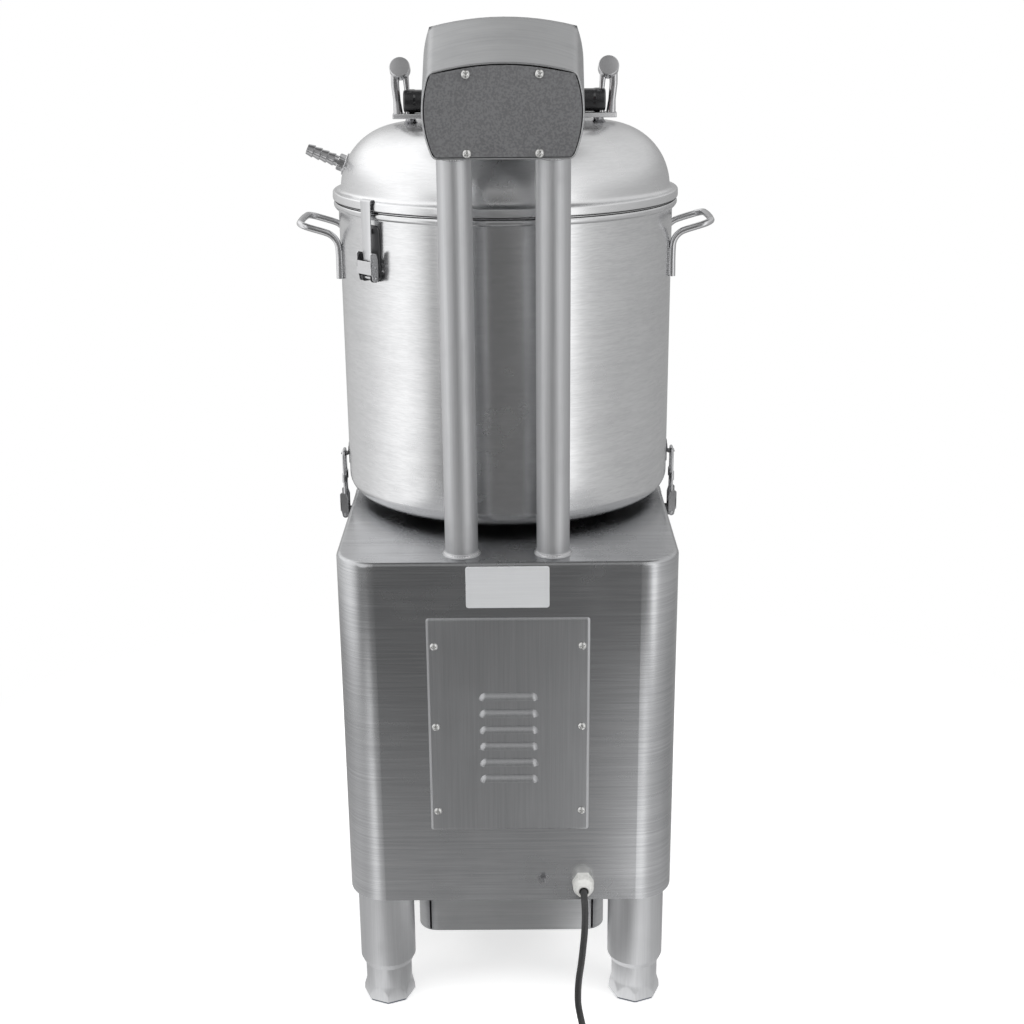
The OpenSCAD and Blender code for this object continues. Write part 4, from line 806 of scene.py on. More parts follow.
@dataclass
class PowerLead:
    """The cord from the gland down behind the cabinet to its coil, with the plug, the gland and a tie.

    Sizes are in mm, and the route repeats the one in the part's source.
    """

    diameter: float = 8.0
    route: tuple = ((-86, 309.5, 181), (-86, 318, 181), (-86.3, 326, 177.5), (-86.6, 331, 169),
        (-86.6, 333, 157), (-86, 333, 140), (-84.5, 332.5, 120), (-82.5, 332, 98), (-80, 331, 76),
        (-79, 330.5, 56), (-79.5, 331, 40), (-82, 334.5, 26), (-85, 342, 15), (-87.5, 350, 8),
        (-91, 358.5, 4.6), (-94, 364.6, 4),)
    coil_centre: tuple[float, float] = (-52.6, 407.0)
    coil_radius: float = 57.0
    pitch: float = 8.8
    layer: float = 8.6
    turns_in: float = 2.25
    turns_back: float = 0.5
    turns_out: float = 2.25
    enter: float = -150.0
    rings: int = 24
    tail: float = 48.0
    plug_diameter: float = 37.0
    relief_length: float = 28.0
    body_length: float = 20.0
    face_length: float = 18.0

    def way(self) -> np.ndarray:
        """Direction in which the cord leaves the coil for the plug."""
        a = math.radians(self.enter)
        return np.array([math.sin(a), -math.cos(a), 0.0])

    def coil_line(self, s: np.ndarray) -> np.ndarray:
        """Points of the coil after s turns: inwards on the floor, across at the middle, then outwards on top.

        Args:
            s: Turns from the coil's start.

        Returns:
            Array of points.
        """
        inner = self.coil_radius - self.pitch * self.turns_in
        middle = self.turns_in + self.turns_back
        reach = np.where(s < self.turns_in, self.coil_radius - self.pitch * s, np.where(s < middle,
            inner - self.pitch / (2 * math.pi) * np.sin(2 * math.pi * (s - self.turns_in)),
            inner + self.pitch * (s - middle)))
        angle = np.radians(self.enter - 360.0 * s)
        lift = np.clip((s - self.turns_in) / self.turns_back, 0.0, 1.0)
        height = self.diameter / 2 + self.layer * lift * lift * (3 - 2 * lift)
        return np.stack([self.coil_centre[0] + reach * np.cos(angle), self.coil_centre[1] + reach * np.sin(
            angle), height], -1)

    def line(self) -> np.ndarray:
        """The cord's whole middle line in mm, evenly spaced."""
        turns = self.turns_in + self.turns_back + self.turns_out
        s = np.arange(int(round(self.rings * turns)) + 1) / self.rings
        coil = self.coil_line(s)
        way, d = self.way(), self.diameter
        run = self.tail - d
        a = np.arange(1, 7)[:, None] * run / 6
        f = np.clip(a / run, 0.0, 1.0)
        rise = self.plug_diameter / 2 - d / 2 - self.layer
        tail = coil[-1] + a * way + np.array([0.0, 0.0, 1.0]) * rise * f * f * (3 - 2 * f)
        points = [np.asarray(self.route, float), coil[:1] - d * way, coil, tail, tail[-1:] + d * way]
        return resampled(np.concatenate(points), 3.0)

    def build(self) -> None:
        line = self.line()
        cord = sweep(line, self.diameter / 2, sides=16, hint=(0.35, 0.12, 0.93)).piece(
            "power_lead", FINISHES.jacket, "root", ("power_cord", "cord_coil"), "cord_jacket")
        plug = self.plug(line[-1])
        gland = self.gland()
        tie = self.tie()

    def plug(self, place: np.ndarray) -> list[bpy.types.Object]:
        """Makes the plug: a ribbed relief, a waisted grip, a round face and two pins.

        Args:
            place: Point where the cord enters the relief.

        Returns:
            The plug's body and its pins.
        """
        origin, axes = frame_at(place, self.way(), (0.0, 0.0, 1.0))
        r, a, b, c = self.plug_diameter / 2, self.relief_length, self.body_length, self.face_length
        relief = [(4.1, 0.0)]
        for k in range(6):
            z = 2.5 + k * (a - 5) / 6
            wide = 4.9 + k * 0.3
            relief += [(wide, z), (wide, z + 2.3), (wide - 0.7, z + 2.8), (wide - 0.7, z + 3.7)]
        body = fillet([(6.5, a - 1.5), (9.0, a), (11.0, a + 1.5), (13.5, a + b * 0.45), (r - 1.2, a + b),
            (r, a + b + 3), (r, a + b + c), (r - 4, a + b + c), (0.0, a + b + c)], [0, 2, 2, 8, 4, 2.5, 1.6,
            0, 0])
        profile = np.concatenate([[(0.0, 0.0)], relief, body])
        grip = lambda rad, z, angle: rad - 0.35 * (np.cos(24 * angle) > 0.2) * ((z > a + b + 5) & (
            z < a + b + c - 4))
        shell = lathe(profile, 96, grip).placed(origin, axes).piece(
            "plug_body", FINISHES.black, "root", ("power_plug",), "black_plastic")
        pins = Shape()
        for side in (-1, 1):
            pin = lathe(fillet([(0, a + b + c - 1), (2.4, a + b + c - 1), (2.4, a + b + c + 19),
                (0, a + b + c + 19)], [0, 0, 1.9, 0]), 24)
            pins.join(pin.moved((0.0, side * 9.5, 0.0)))
        return [shell, pins.placed(origin, axes).piece("plug_pins", FINISHES.fastener, "root", (),
            "plated_fastener")]

    def gland(self) -> list[bpy.types.Object]:
        """Makes the gland: a hexagon on the cabinet, a ribbed cap nut and the rubber that grips the cord.

        Returns:
            The gland's body and its rubber.
        """
        origin, axes = frame_at((-86.0, 286.5, 181.0), (0.0, 1.0, 0.0))

        def hexagon(rad: np.ndarray, z: np.ndarray, angle: np.ndarray) -> np.ndarray:
            """Radius of a hexagon, 26 mm over its rounded corners, where the profile asks for 13."""
            turn = np.mod(angle, math.pi / 3) - math.pi / 6
            flat = 13.0 * math.cos(math.pi / 6) / np.cos(turn)
            return np.where(rad > 12.5, np.minimum(flat, 12.8), rad)

        seat = lathe([(0, -12), (9.9, -12), (9.9, 0), (13, 0), (13, 6.6), (12.4, 8), (0, 8)], 96, hexagon)
        ribbed = lambda rad, z, angle: rad - 0.5 * (np.cos(16 * angle) > 0.55) * ((z > 9) & (z < 15.5))
        cap = lathe(fillet([(0, 8), (11.9, 8), (12, 9.2), (12, 15.4), (10.2, 18.2), (8.9, 22.0), (6.9, 23),
            (4.2, 23), (4.2, 20), (0, 20)], [0, 0.4, 0.4, 1.5, 3, 1.4, 0.5, 0.3, 0, 0]), 96, ribbed)
        white = Shape().join(seat, cap).placed(origin, axes).piece(
            "gland_body", FINISHES.nylon, "root", ("cable_gland",), "white_nylon")
        rubber = lathe([(0, 18), (6.4, 18), (6.4, 22.2), (5.6, 23.0), (4.0, 23.0), (4.0, 18), (0, 18)], 40)
        return [white, rubber.placed(origin, axes).piece("gland_rubber", FINISHES.rubber, "root", (),
            "black_rubber")]

    def tie(self) -> bpy.types.Object:
        """Makes the tie round the coil's turns, a flat band on a rounded rectangle, and returns it."""
        inner = self.coil_radius - self.pitch * self.turns_in
        low, high = inner - self.diameter / 2 - 2.2, self.coil_radius + self.diameter / 2 + 1.4
        top = self.diameter + self.layer + 1.0
        corners = np.array([((low + high) / 2, 0, 0.35), (high, 0, 0.35), (high, 0, top), (low, 0, top),
            (low, 0, 0.35), ((low + high) / 2 - 0.01, 0, 0.35)])
        band = sweep(rounded_path(corners, [0, 5, 5, 5, 5, 0], 6), 1.0, hint=(0, 1, 0), section=np.array(
            [(-2.4, -0.35), (2.4, -0.35), (2.4, 0.35), (-2.4, 0.35)]) @ np.array([[0, 1], [1, 0]]))
        return band.placed(np.array([*self.coil_centre, 0.0]), spin(35.0)).piece("cord_tie", FINISHES.black,
            "root", (), "black_plastic")


# Studio


@dataclass
class Studio:
    """The camera at the photograph's place, a pale floor, soft lamps and the room that metal mirrors."""

    eye: tuple[float, float, float] = (-0.0117, 1.8568, 1.1745)
    pitch: float = 18.67
    yaw: float = -0.22
    roll: float = 0.51
    lens: float = 53.48
    peak: float = 1.65
    overhead: float = 0.16
    even_light: float = 0.55
    floor_half: float = 8.0
    floor_grey: float = 0.82
    floor_lift: float = 0.54
    room: dict[int, float] = field(default_factory=lambda: {-180: 0.35, -150: 0.42, -122: 0.5, -97: 0.56,
        -77: 0.6, -62: 0.7, -54: 0.78, -48: 1.0, -43: 1.65, -37: 1.5, -32: 0.7, -26: 0.28, -18: 0.13, 0: 0.1,
        22: 0.13, 40: 0.18, 48: 0.3, 53: 0.78, 58: 1.05, 68: 1.42, 80: 1.4, 97: 1.08, 115: 0.84, 145: 0.7,
        180: 0.35})
    distant: dict[int, float] = field(default_factory=lambda: {-180: 0.35, -150: 0.42, -122: 0.5, -97: 0.56,
        -77: 0.6, -62: 0.7, -54: 0.78, -48: 1.0, -43: 1.65, -37: 1.65, -30: 1.65, -23: 1.3, -16: 0.3, 0: 0.1,
        19: 0.15, 25: 1.0, 31: 1.65, 38: 1.5, 44: 0.6, 49: 0.28, 53: 0.78, 58: 1.05, 68: 1.42, 80: 1.4,
        97: 1.08, 115: 0.84, 145: 0.7, 180: 0.35})
    upper: dict[int, float] = field(default_factory=lambda: {-180: 0.6, -150: 0.76, -114: 0.8, -93: 0.82,
        -76: 0.84, -60: 0.9, -48: 1.08, -38: 1.2, -27: 1.2, -17: 0.5, 0: 0.2, 18: 0.5, 26: 1.2, 34: 1.3,
        46: 1.1, 56: 1.12, 68: 1.22, 84: 1.36, 101: 1.42, 121: 1.5, 145: 1.35, 165: 0.95, 180: 0.6})
    close: dict[int, float] = field(default_factory=lambda: {-180: 0.3, -120: 0.36, -80: 0.46, -62: 0.6,
        -44: 0.68, -34: 0.8, -27: 1.4, -21: 1.55, -16: 0.85, -10: 0.28, 0: 0.2, 14: 0.2, 20: 0.3, 26: 1.05,
        31: 1.35, 36: 1.0, 43: 0.66, 52: 0.66, 64: 0.7, 80: 0.62, 110: 0.45, 180: 0.3})

    def build(self) -> None:
        """Makes the camera, the floor, the lamps and the world."""
        self.camera()
        self.floor()
        self.lamps()
        self.world()

    def camera(self) -> None:
        """Turns pitch, yaw and roll into the camera's axes and sets the scene's camera."""
        p, y, r = (math.radians(v) for v in (self.pitch, self.yaw, self.roll))
        ahead = np.array([-math.sin(y) * math.cos(p), -math.cos(y) * math.cos(p), -math.sin(p)])
        right = np.array([-math.cos(y), math.sin(y), 0.0])
        down = np.cross(ahead, right)
        right, down = math.cos(r) * right + math.sin(r) * down, -math.sin(r) * right + math.cos(r) * down
        data = bpy.data.cameras.new("Photo camera")
        data.lens = self.lens
        data.sensor_width = 36.0
        data.clip_start = 0.02
        made = bpy.data.objects.new("Photo camera", data)
        matrix = np.eye(4)
        matrix[:3, 0], matrix[:3, 1], matrix[:3, 2], matrix[:3, 3] = right, -down, -ahead, self.eye
        made.matrix_world = Matrix(matrix.tolist())
        bpy.context.scene.collection.objects.link(made)
        bpy.context.scene.camera = made

    def floor(self) -> None:
        """Makes the floor: white to the camera but for the soft shadow, a gradient to what mirrors it."""
        mesh = bpy.data.meshes.new("floor")
        e = self.floor_half
        mesh.from_pydata([(-e, -e, 0), (e, -e, 0), (e, e, 0), (-e, e, 0)], [], [(0, 1, 2, 3)])
        made = bpy.data.objects.new("floor", mesh)
        bpy.context.scene.collection.objects.link(made)
        surface = bpy.data.materials.new("Pale floor")
        surface.use_nodes = True
        tree = surface.node_tree
        tree.nodes.clear()
        out = tree.nodes.new("ShaderNodeOutputMaterial")
        plain = tree.nodes.new("ShaderNodeBsdfDiffuse")
        plain.inputs["Color"].default_value = (*[self.floor_grey] * 3, 1)
        lift = tree.nodes.new("ShaderNodeEmission")
        rays = tree.nodes.new("ShaderNodeLightPath")
        seen = arithmetic(tree, "MAXIMUM", rays.outputs["Is Camera Ray"], rays.outputs["Is Transmission Ray"])
        tree.links.new(arithmetic(tree, "MULTIPLY", seen, self.floor_lift), lift.inputs["Strength"])
        near = tree.nodes.new("ShaderNodeAddShader")
        tree.links.new(plain.outputs[0], near.inputs[0])
        tree.links.new(lift.outputs[0], near.inputs[1])
        white = tree.nodes.new("ShaderNodeEmission")
        white.inputs["Strength"].default_value = 1.0
        place = tree.nodes.new("ShaderNodeTexCoord").outputs["Object"]
        both = tree.nodes.new("ShaderNodeMixShader")
        away = ramp(tree, distance(tree, place), 0.55, 1.1)
        tree.links.new(arithmetic(tree, "MULTIPLY", away, seen), both.inputs["Fac"])
        tree.links.new(near.outputs[0], both.inputs[1])
        tree.links.new(white.outputs[0], both.inputs[2])
        room = tree.nodes.new("ShaderNodeEmission")
        tree.links.new(self.shade(tree, place, True), room.inputs["Strength"])
        pick = tree.nodes.new("ShaderNodeMixShader")
        tree.links.new(rays.outputs["Is Glossy Ray"], pick.inputs["Fac"])
        tree.links.new(both.outputs[0], pick.inputs[1])
        tree.links.new(room.outputs[0], pick.inputs[2])
        tree.links.new(pick.outputs[0], out.inputs["Surface"])
        mesh.materials.append(surface)

    def shade(self, tree: Tree, vector: Socket, floor: bool) -> Socket:
        """Brightness of the room that metal mirrors, by the direction round the machine.

        It is dark behind the camera (+Y), bright at both sides of it and paler at the far sides, and brighter
        from a quarter of the way up. Overhead it is grey, and the floor close to the machine is lighter than
        the dark part.

        Args:
            tree: Node tree that gets the nodes.
            vector: Socket with the direction, or with the place on the floor.
            floor: True for the floor.

        Returns:
            The brightness socket.
        """
        parts = parts_of(tree, vector)
        turn = arithmetic(tree, "ARCTAN2", parts["X"], parts["Y"])
        turn = arithmetic(tree, "MULTIPLY_ADD", turn, 0.5 / math.pi, 0.5)
        ring = self.ring(tree, turn, self.distant)
        if floor:
            for levels, low, high in ((self.room, 2.4, 5.0), (self.close, 1.15, 1.6)):
                far = ramp(tree, distance(tree, vector), low, high)
                rest = arithmetic(tree, "SUBTRACT", 1.0, far)
                near = arithmetic(tree, "MULTIPLY", self.ring(tree, turn, levels), rest)
                ring = arithmetic(tree, "MULTIPLY_ADD", ring, far, near)
            return arithmetic(tree, "MAXIMUM", ring, ramp(tree, parts["Y"], 0.42, 1.35, 0.42, 0.17))
        upper = ramp(tree, parts["Z"], 0.1, 0.38)
        ring = arithmetic(tree, "MULTIPLY", ring, arithmetic(tree, "SUBTRACT", 1.0, upper))
        ring = arithmetic(tree, "MULTIPLY_ADD", self.ring(tree, turn, self.upper), upper, ring)
        high = ramp(tree, parts["Z"], 0.8, 0.97)
        level = arithmetic(tree, "MULTIPLY", ring, arithmetic(tree, "SUBTRACT", 1.0, high))
        return arithmetic(tree, "MULTIPLY_ADD", high, self.overhead, level)

    def ring(self, tree: Tree, turn: Socket, levels: dict[int, float]) -> Socket:
        """Brightness by the direction round the machine.

        Args:
            tree: Node tree that gets the nodes.
            turn: Socket with the direction, 0 to 1 from -180 to 180 degrees.
            levels: Brightness by degrees.

        Returns:
            The brightness socket.
        """
        curve = tree.nodes.new("ShaderNodeValToRGB")
        curve.color_ramp.interpolation = "B_SPLINE"
        stops = sorted(levels.items())
        while len(curve.color_ramp.elements) < len(stops):
            curve.color_ramp.elements.new(0.5)
        for element, (degrees, level) in zip(curve.color_ramp.elements, stops):
            element.position = degrees / 360.0 + 0.5
            element.color = (level / self.peak, level / self.peak, level / self.peak, 1.0)
        tree.links.new(turn, curve.inputs["Fac"])
        return arithmetic(tree, "MULTIPLY", curve.outputs["Color"], self.peak)

    def lamps(self) -> None:
        """Makes three large soft lamps: one over the top and one at each side."""
        target = Vector((0.0, 0.0, 0.6))
        rows = (
            ("Top lamp", (0.0, 0.6, 2.6), 2.0, 34.0),
            ("Left lamp", (2.2, 1.2, 1.5), 1.4, 16.0),
            ("Right lamp", (-2.2, 1.2, 1.5), 1.4, 20.0),
        )
        for name, place, size, power in rows:
            data = bpy.data.lights.new(name, "AREA")
            data.shape = "SQUARE"
            data.size = size
            data.energy = power
            made = bpy.data.objects.new(name, data)
            made.location = place
            made.rotation_euler = (Vector(place) - target).to_track_quat("Z", "Y").to_euler()
            made.visible_glossy = False
            bpy.context.scene.collection.objects.link(made)

    def world(self) -> None:
        """Makes the world: white behind the object, even light on it, and the room's gradient in mirrors."""
        world = bpy.data.worlds.new("Studio")
        world.use_nodes = True
        tree = world.node_tree
        tree.nodes.clear()
        out = tree.nodes.new("ShaderNodeOutputWorld")
        rays = tree.nodes.new("ShaderNodeLightPath")
        even = tree.nodes.new("ShaderNodeBackground")
        even.inputs["Color"].default_value = (1, 1, 1, 1)
        seen = arithmetic(tree, "MAXIMUM", rays.outputs["Is Camera Ray"], rays.outputs["Is Transmission Ray"])
        tree.links.new(ramp(tree, seen, 0.0, 1.0, self.even_light, 1.0), even.inputs["Strength"])
        room = tree.nodes.new("ShaderNodeBackground")
        room.inputs["Color"].default_value = (1, 1, 1, 1)
        direction = tree.nodes.new("ShaderNodeTexCoord").outputs["Generated"]
        tree.links.new(self.shade(tree, direction, False), room.inputs["Strength"])
        pick = tree.nodes.new("ShaderNodeMixShader")
        tree.links.new(rays.outputs["Is Glossy Ray"], pick.inputs["Fac"])
        tree.links.new(even.outputs[0], pick.inputs[1])
        tree.links.new(room.outputs[0], pick.inputs[2])
        tree.links.new(pick.outputs[0], out.inputs["Surface"])
        bpy.context.scene.world = world


# Screws, welds and rods


@dataclass
class Fastenings:
    """Cross-recessed pan screws of the rear panel and of the box, in mm."""

    panel_x: float = 83.5
    panel_face: float = 288.0
    panel_z: tuple[float, ...] = (277.0, 385.5, 485.5)
    plate_x: float = 37.0
    plate_face: float = 276.5
    plate_z: tuple[float, ...] = (1025.0, 1102.5)
    head_radius: float = 4.75
    head_height: float = 3.0
    shank: float = 6.0

    def screw(self, turn: float) -> Shape:
        """Makes one screw along +Y: a domed head whose height drops in a cross, over a plain shank.

        The head's height at (r, a) is h (1 - (r / R)^2)^0.5, less the cross of two slots that slope up.

        Args:
            turn: Angle of the cross in degrees.

        Returns:
            The screw with its head's seat at the origin, along z.
        """
        r = np.linspace(self.head_radius, 0.0, 26)[:, None]
        a = np.linspace(0.0, 2 * math.pi, 72, endpoint=False)[None, :]
        x, y = r * np.cos(a - math.radians(turn)), r * np.sin(a - math.radians(turn))
        dome = self.head_height * np.sqrt(np.clip(1.02 - (r / self.head_radius) ** 2 * 0.98, 0.0, 1.0))
        slot = np.clip((0.62 - np.minimum(np.abs(x), np.abs(y))) / 0.22, 0.0, 1.0)
        depth = 1.5 * np.clip(1.25 - np.hypot(x, y) / 2.6, 0.0, 1.0)
        z = dome - slot * depth
        top = np.stack([r * np.cos(a) + 0 * z, r * np.sin(a) + 0 * z, z], axis=-1)
        shank = lathe([(0.0, -self.shank), (2.45, -self.shank), (2.45, 0.0), (self.head_radius, 0.0)], 72)
        rim = np.concatenate([shank.points[0][-72:][None], top[:1]])
        return shank.grid(rim, close_v=True).grid(top, close_v=True)

    def build(self) -> None:
        """Makes all ten screws as one piece."""
        shape = Shape()
        places = [(sx * self.panel_x, self.panel_face, z) for sx in (-1, 1) for z in self.panel_z]
        places += [(sx * self.plate_x, self.plate_face, z) for sx in (-1, 1) for z in self.plate_z]
        for number, place in enumerate(places):
            shape.join(self.screw(17.0 + 53.0 * number).placed(*frame_at(place, (0.0, 1.0, 0.0))))
        shape.piece("pan_screw_heads", FINISHES.fastener, "root", ("pan_screws",), "plated_fastener",
            sharp=40.0)


@dataclass
class PostWelds:
    """Rippled weld beads where the posts stand on the cabinet and enter the box, in mm."""

    post_x: float = 51.3
    post_y: float = 254.1
    post_radius: float = 18.5
    foot_z: float = 585.0
    bead: float = 2.1
    box_z: float = 1018.5
    box_rear: float = 276.5
    box_slope: float = 41.5 / 150.0

    def bead_ring(self, height_of: Callable[[np.ndarray], np.ndarray]) -> Shape:
        """Makes one bead: a ring on the post, at a height given round it, whose section swells 40 times.

        Args:
            height_of: Function of the angle that returns the ring's height in mm.

        Returns:
            The ring round z.
        """
        a = np.linspace(0.0, 2 * math.pi, 240, endpoint=False)
        s = np.linspace(0.0, 2 * math.pi, 12, endpoint=False)
        swell = self.bead * (1.0 + 0.13 * np.abs(np.sin(20 * a)) + 0.06 * np.sin(7 * a + 1.0))
        rad = self.post_radius - 0.2 + swell[:, None] * 0.95 * (0.25 + 0.75 * np.cos(s)[None, :])
        z = height_of(a)[:, None] + swell[:, None] * np.sin(s)[None, :]
        return Shape().grid(np.stack([rad * np.cos(a)[:, None], rad * np.sin(a)[:, None], z], axis=-1),
            close_u=True, close_v=True)

    def build(self) -> None:
        """Makes the beads of both posts as one piece."""
        shape = Shape()
        for side in (-1, 1):
            low = self.bead_ring(lambda a: 0 * a + self.foot_z + 0.6)
            high = self.bead_ring(lambda a: self.box_z - 0.4 - self.box_slope * (
                self.post_y - self.box_rear + self.post_radius * np.sin(a)))
            post = (side * self.post_x, self.post_y, 0)
            shape.join(low.moved(post), high.moved(post))
        shape.piece("post_weld_beads", FINISHES.rod, "root", (), "brushed_sheet", sharp=80.0)


@dataclass
class DrumHandles:
    """The two bent rods at the drum's sides, in mm: tails on the wall, rising arms and a grip bar."""

    wall: float = 200.0
    rod: float = 8.0
    half: float = 47.0
    reach: float = 248.17
    low: float = 859.0
    knee: float = 909.0
    rise: float = 14.0
    knee_bend: float = 20.0
    corner_bend: float = 13.0

    def path(self) -> np.ndarray:
        """Works out the middle line of the +X rod: up the wall, out along the arm, across, and back."""
        seat = math.sqrt((self.wall + self.rod / 2 - 0.5) ** 2 - self.half**2)
        top = self.reach - self.rod / 2
        rise = math.tan(math.asin(self.rise / 48.0)) * (top - seat)
        side = [(seat, self.low), (seat, self.knee), (top, self.knee + rise)]
        corners = [(x, -self.half, z) for x, z in side] + [(x, self.half, z) for x, z in reversed(side)]
        radii = [0, self.knee_bend, self.corner_bend, self.corner_bend, self.knee_bend, 0]
        return rounded_path(np.array(corners), radii, 12)

    def build(self) -> None:
        """Makes both rods, each with rounded ends and weld beads along its tails."""
        path = self.path()
        bead = Shape()
        for end, after in ((path[0], path[1]), (path[-1], path[-2])):
            z = np.linspace(end[2] + 1.5, min(end[2] + 34.0, after[2]), 60)
            for side in (-1, 1):
                way = end[:2] / np.linalg.norm(end[:2])
                across = np.array([-way[1], way[0]]) * side
                spot = way[None, :] * (self.wall + 0.4) + across[None, :] * 3.3 + 0 * z[:, None]
                bead.join(sweep(np.column_stack([spot, z]), 1.2 + 0.25 * np.abs(np.sin(z * 1.3)), 8,
                    hint=(1, 0.1, 0)))
        rod = sweep(resampled(path, 2.5), self.rod / 2, 24, hint=(-0.6, 0.0, 0.8))
        shape = Shape()
        for turn in (0.0, 180.0):
            shape.join(rod.turned(turn), bead.turned(turn))
        shape.piece("drum_handle_rods", FINISHES.rod, "root", ("drum_handles",), "polished_rod", sharp=60.0)


# Control box


@dataclass
class ControlBox:
    """The tapering box on the posts, in mm: bulged sides, an arched top and a rolled rear rim."""

    rear_y: float = 276.5
    length: float = 150.0
    base_z: float = 1018.5
    rise: float = 41.5
    half: float = 72.0
    bulge: float = 10.5
    bulge_height: float = 46.5
    side_height: float = 85.5
    arch: float = 10.0
    flare: float = 5.0
    wall: float = 2.0
    corner: float = 6.0

    def runs(self, flare: float) -> list[np.ndarray]:
        """The four runs of the outline in order, anticlockwise from the bottom left corner.

        The sides are parabolas x = half + bulge (1 - ((h - b) / b)^2), and the top is side + arch (1 - s^2).

        Args:
            flare: Half width added to both sides.

        Returns:
            Points (x, height) of each run.
        """
        h = np.linspace(0.0, self.side_height, 40)
        x = self.half + flare + self.bulge * (1.0 - ((h - self.bulge_height) / self.bulge_height) ** 2)
        s = np.linspace(1.0, -1.0, 60)
        top = np.column_stack([x[-1] * s, self.side_height + self.arch * (1.0 - s**2)])
        low = np.column_stack([np.linspace(-x[0], x[0], 30), np.zeros(30)])
        return [low, np.column_stack([x, h]), top, np.column_stack([-x[::-1], h[::-1]])]

    def outline(self, inset: float, flare: float) -> np.ndarray:
        """The closed outline, its corners rounded by curves that touch both runs, drawn in by an inset.

        Args:
            inset: Distance inwards along the outline's normals.
            flare: Half width added to both sides.

        Returns:
            Points (x, height).
        """
        runs, parts = self.runs(flare), []
        for index, run in enumerate(runs):
            along = np.concatenate([[0.0], np.cumsum(np.linalg.norm(np.diff(run, axis=0), axis=1))])
            at = np.linspace(self.corner, along[-1] - self.corner, 26)
            trimmed = np.column_stack([np.interp(at, along, run[:, k]) for k in (0, 1)])
            following = runs[(index + 1) % 4]
            ahead = np.concatenate([[0.0], np.cumsum(np.linalg.norm(np.diff(following, axis=0), axis=1))])
            start = np.array([np.interp(self.corner, ahead, following[:, k]) for k in (0, 1)])
            s = np.linspace(0.0, 1.0, 9)[1:-1, None]
            bend = (1 - s) ** 2 * trimmed[-1] + 2 * s * (1 - s) * run[-1] + s**2 * start
            parts += [trimmed, bend]
        loop = np.concatenate(parts)
        along = unit(np.roll(loop, -1, axis=0) - np.roll(loop, 1, axis=0))
        return loop + inset * np.column_stack([-along[:, 1], along[:, 0]])

    def ring(self, depth: float, inset: float) -> np.ndarray:
        """Places the outline at a depth in front of the rear rim.

        Args:
            depth: Distance from the rim along -Y.
            inset: Distance inwards.

        Returns:
            Points in the row frame.
        """
        share = depth / self.length
        loop = self.outline(inset, share * self.flare)
        height = self.base_z + share * self.rise + loop[:, 1]
        return np.column_stack([loop[:, 0], np.full(len(loop), self.rear_y - depth), height])

    def build(self) -> None:
        """Makes the folded shell, closed from its outer skin round the rims to its inner skin."""
        r, w = 0.85, self.wall
        outside = [150, 149.4, 140, 110, 75, 40, 12, 2.5, r, 0.3, 0.0]
        depths = [*outside, 0.0, 0.3, r, 2.5, 12, 75, 140, 149.4, 150]
        insets = [0.5, 0, 0, 0, 0, 0, 0, 0, 0, 0.3, r, w - r, w - 0.3, w, w, w, w, w, w, w - 0.5]
        rings = np.stack([self.ring(d, i) for d, i in zip(depths, insets)])
        Shape().grid(rings, close_u=True, close_v=True).piece(
            "control_box_shell", FINISHES.box, "root", ("control_box",), "brushed_sheet", sharp=50.0)


# Lid


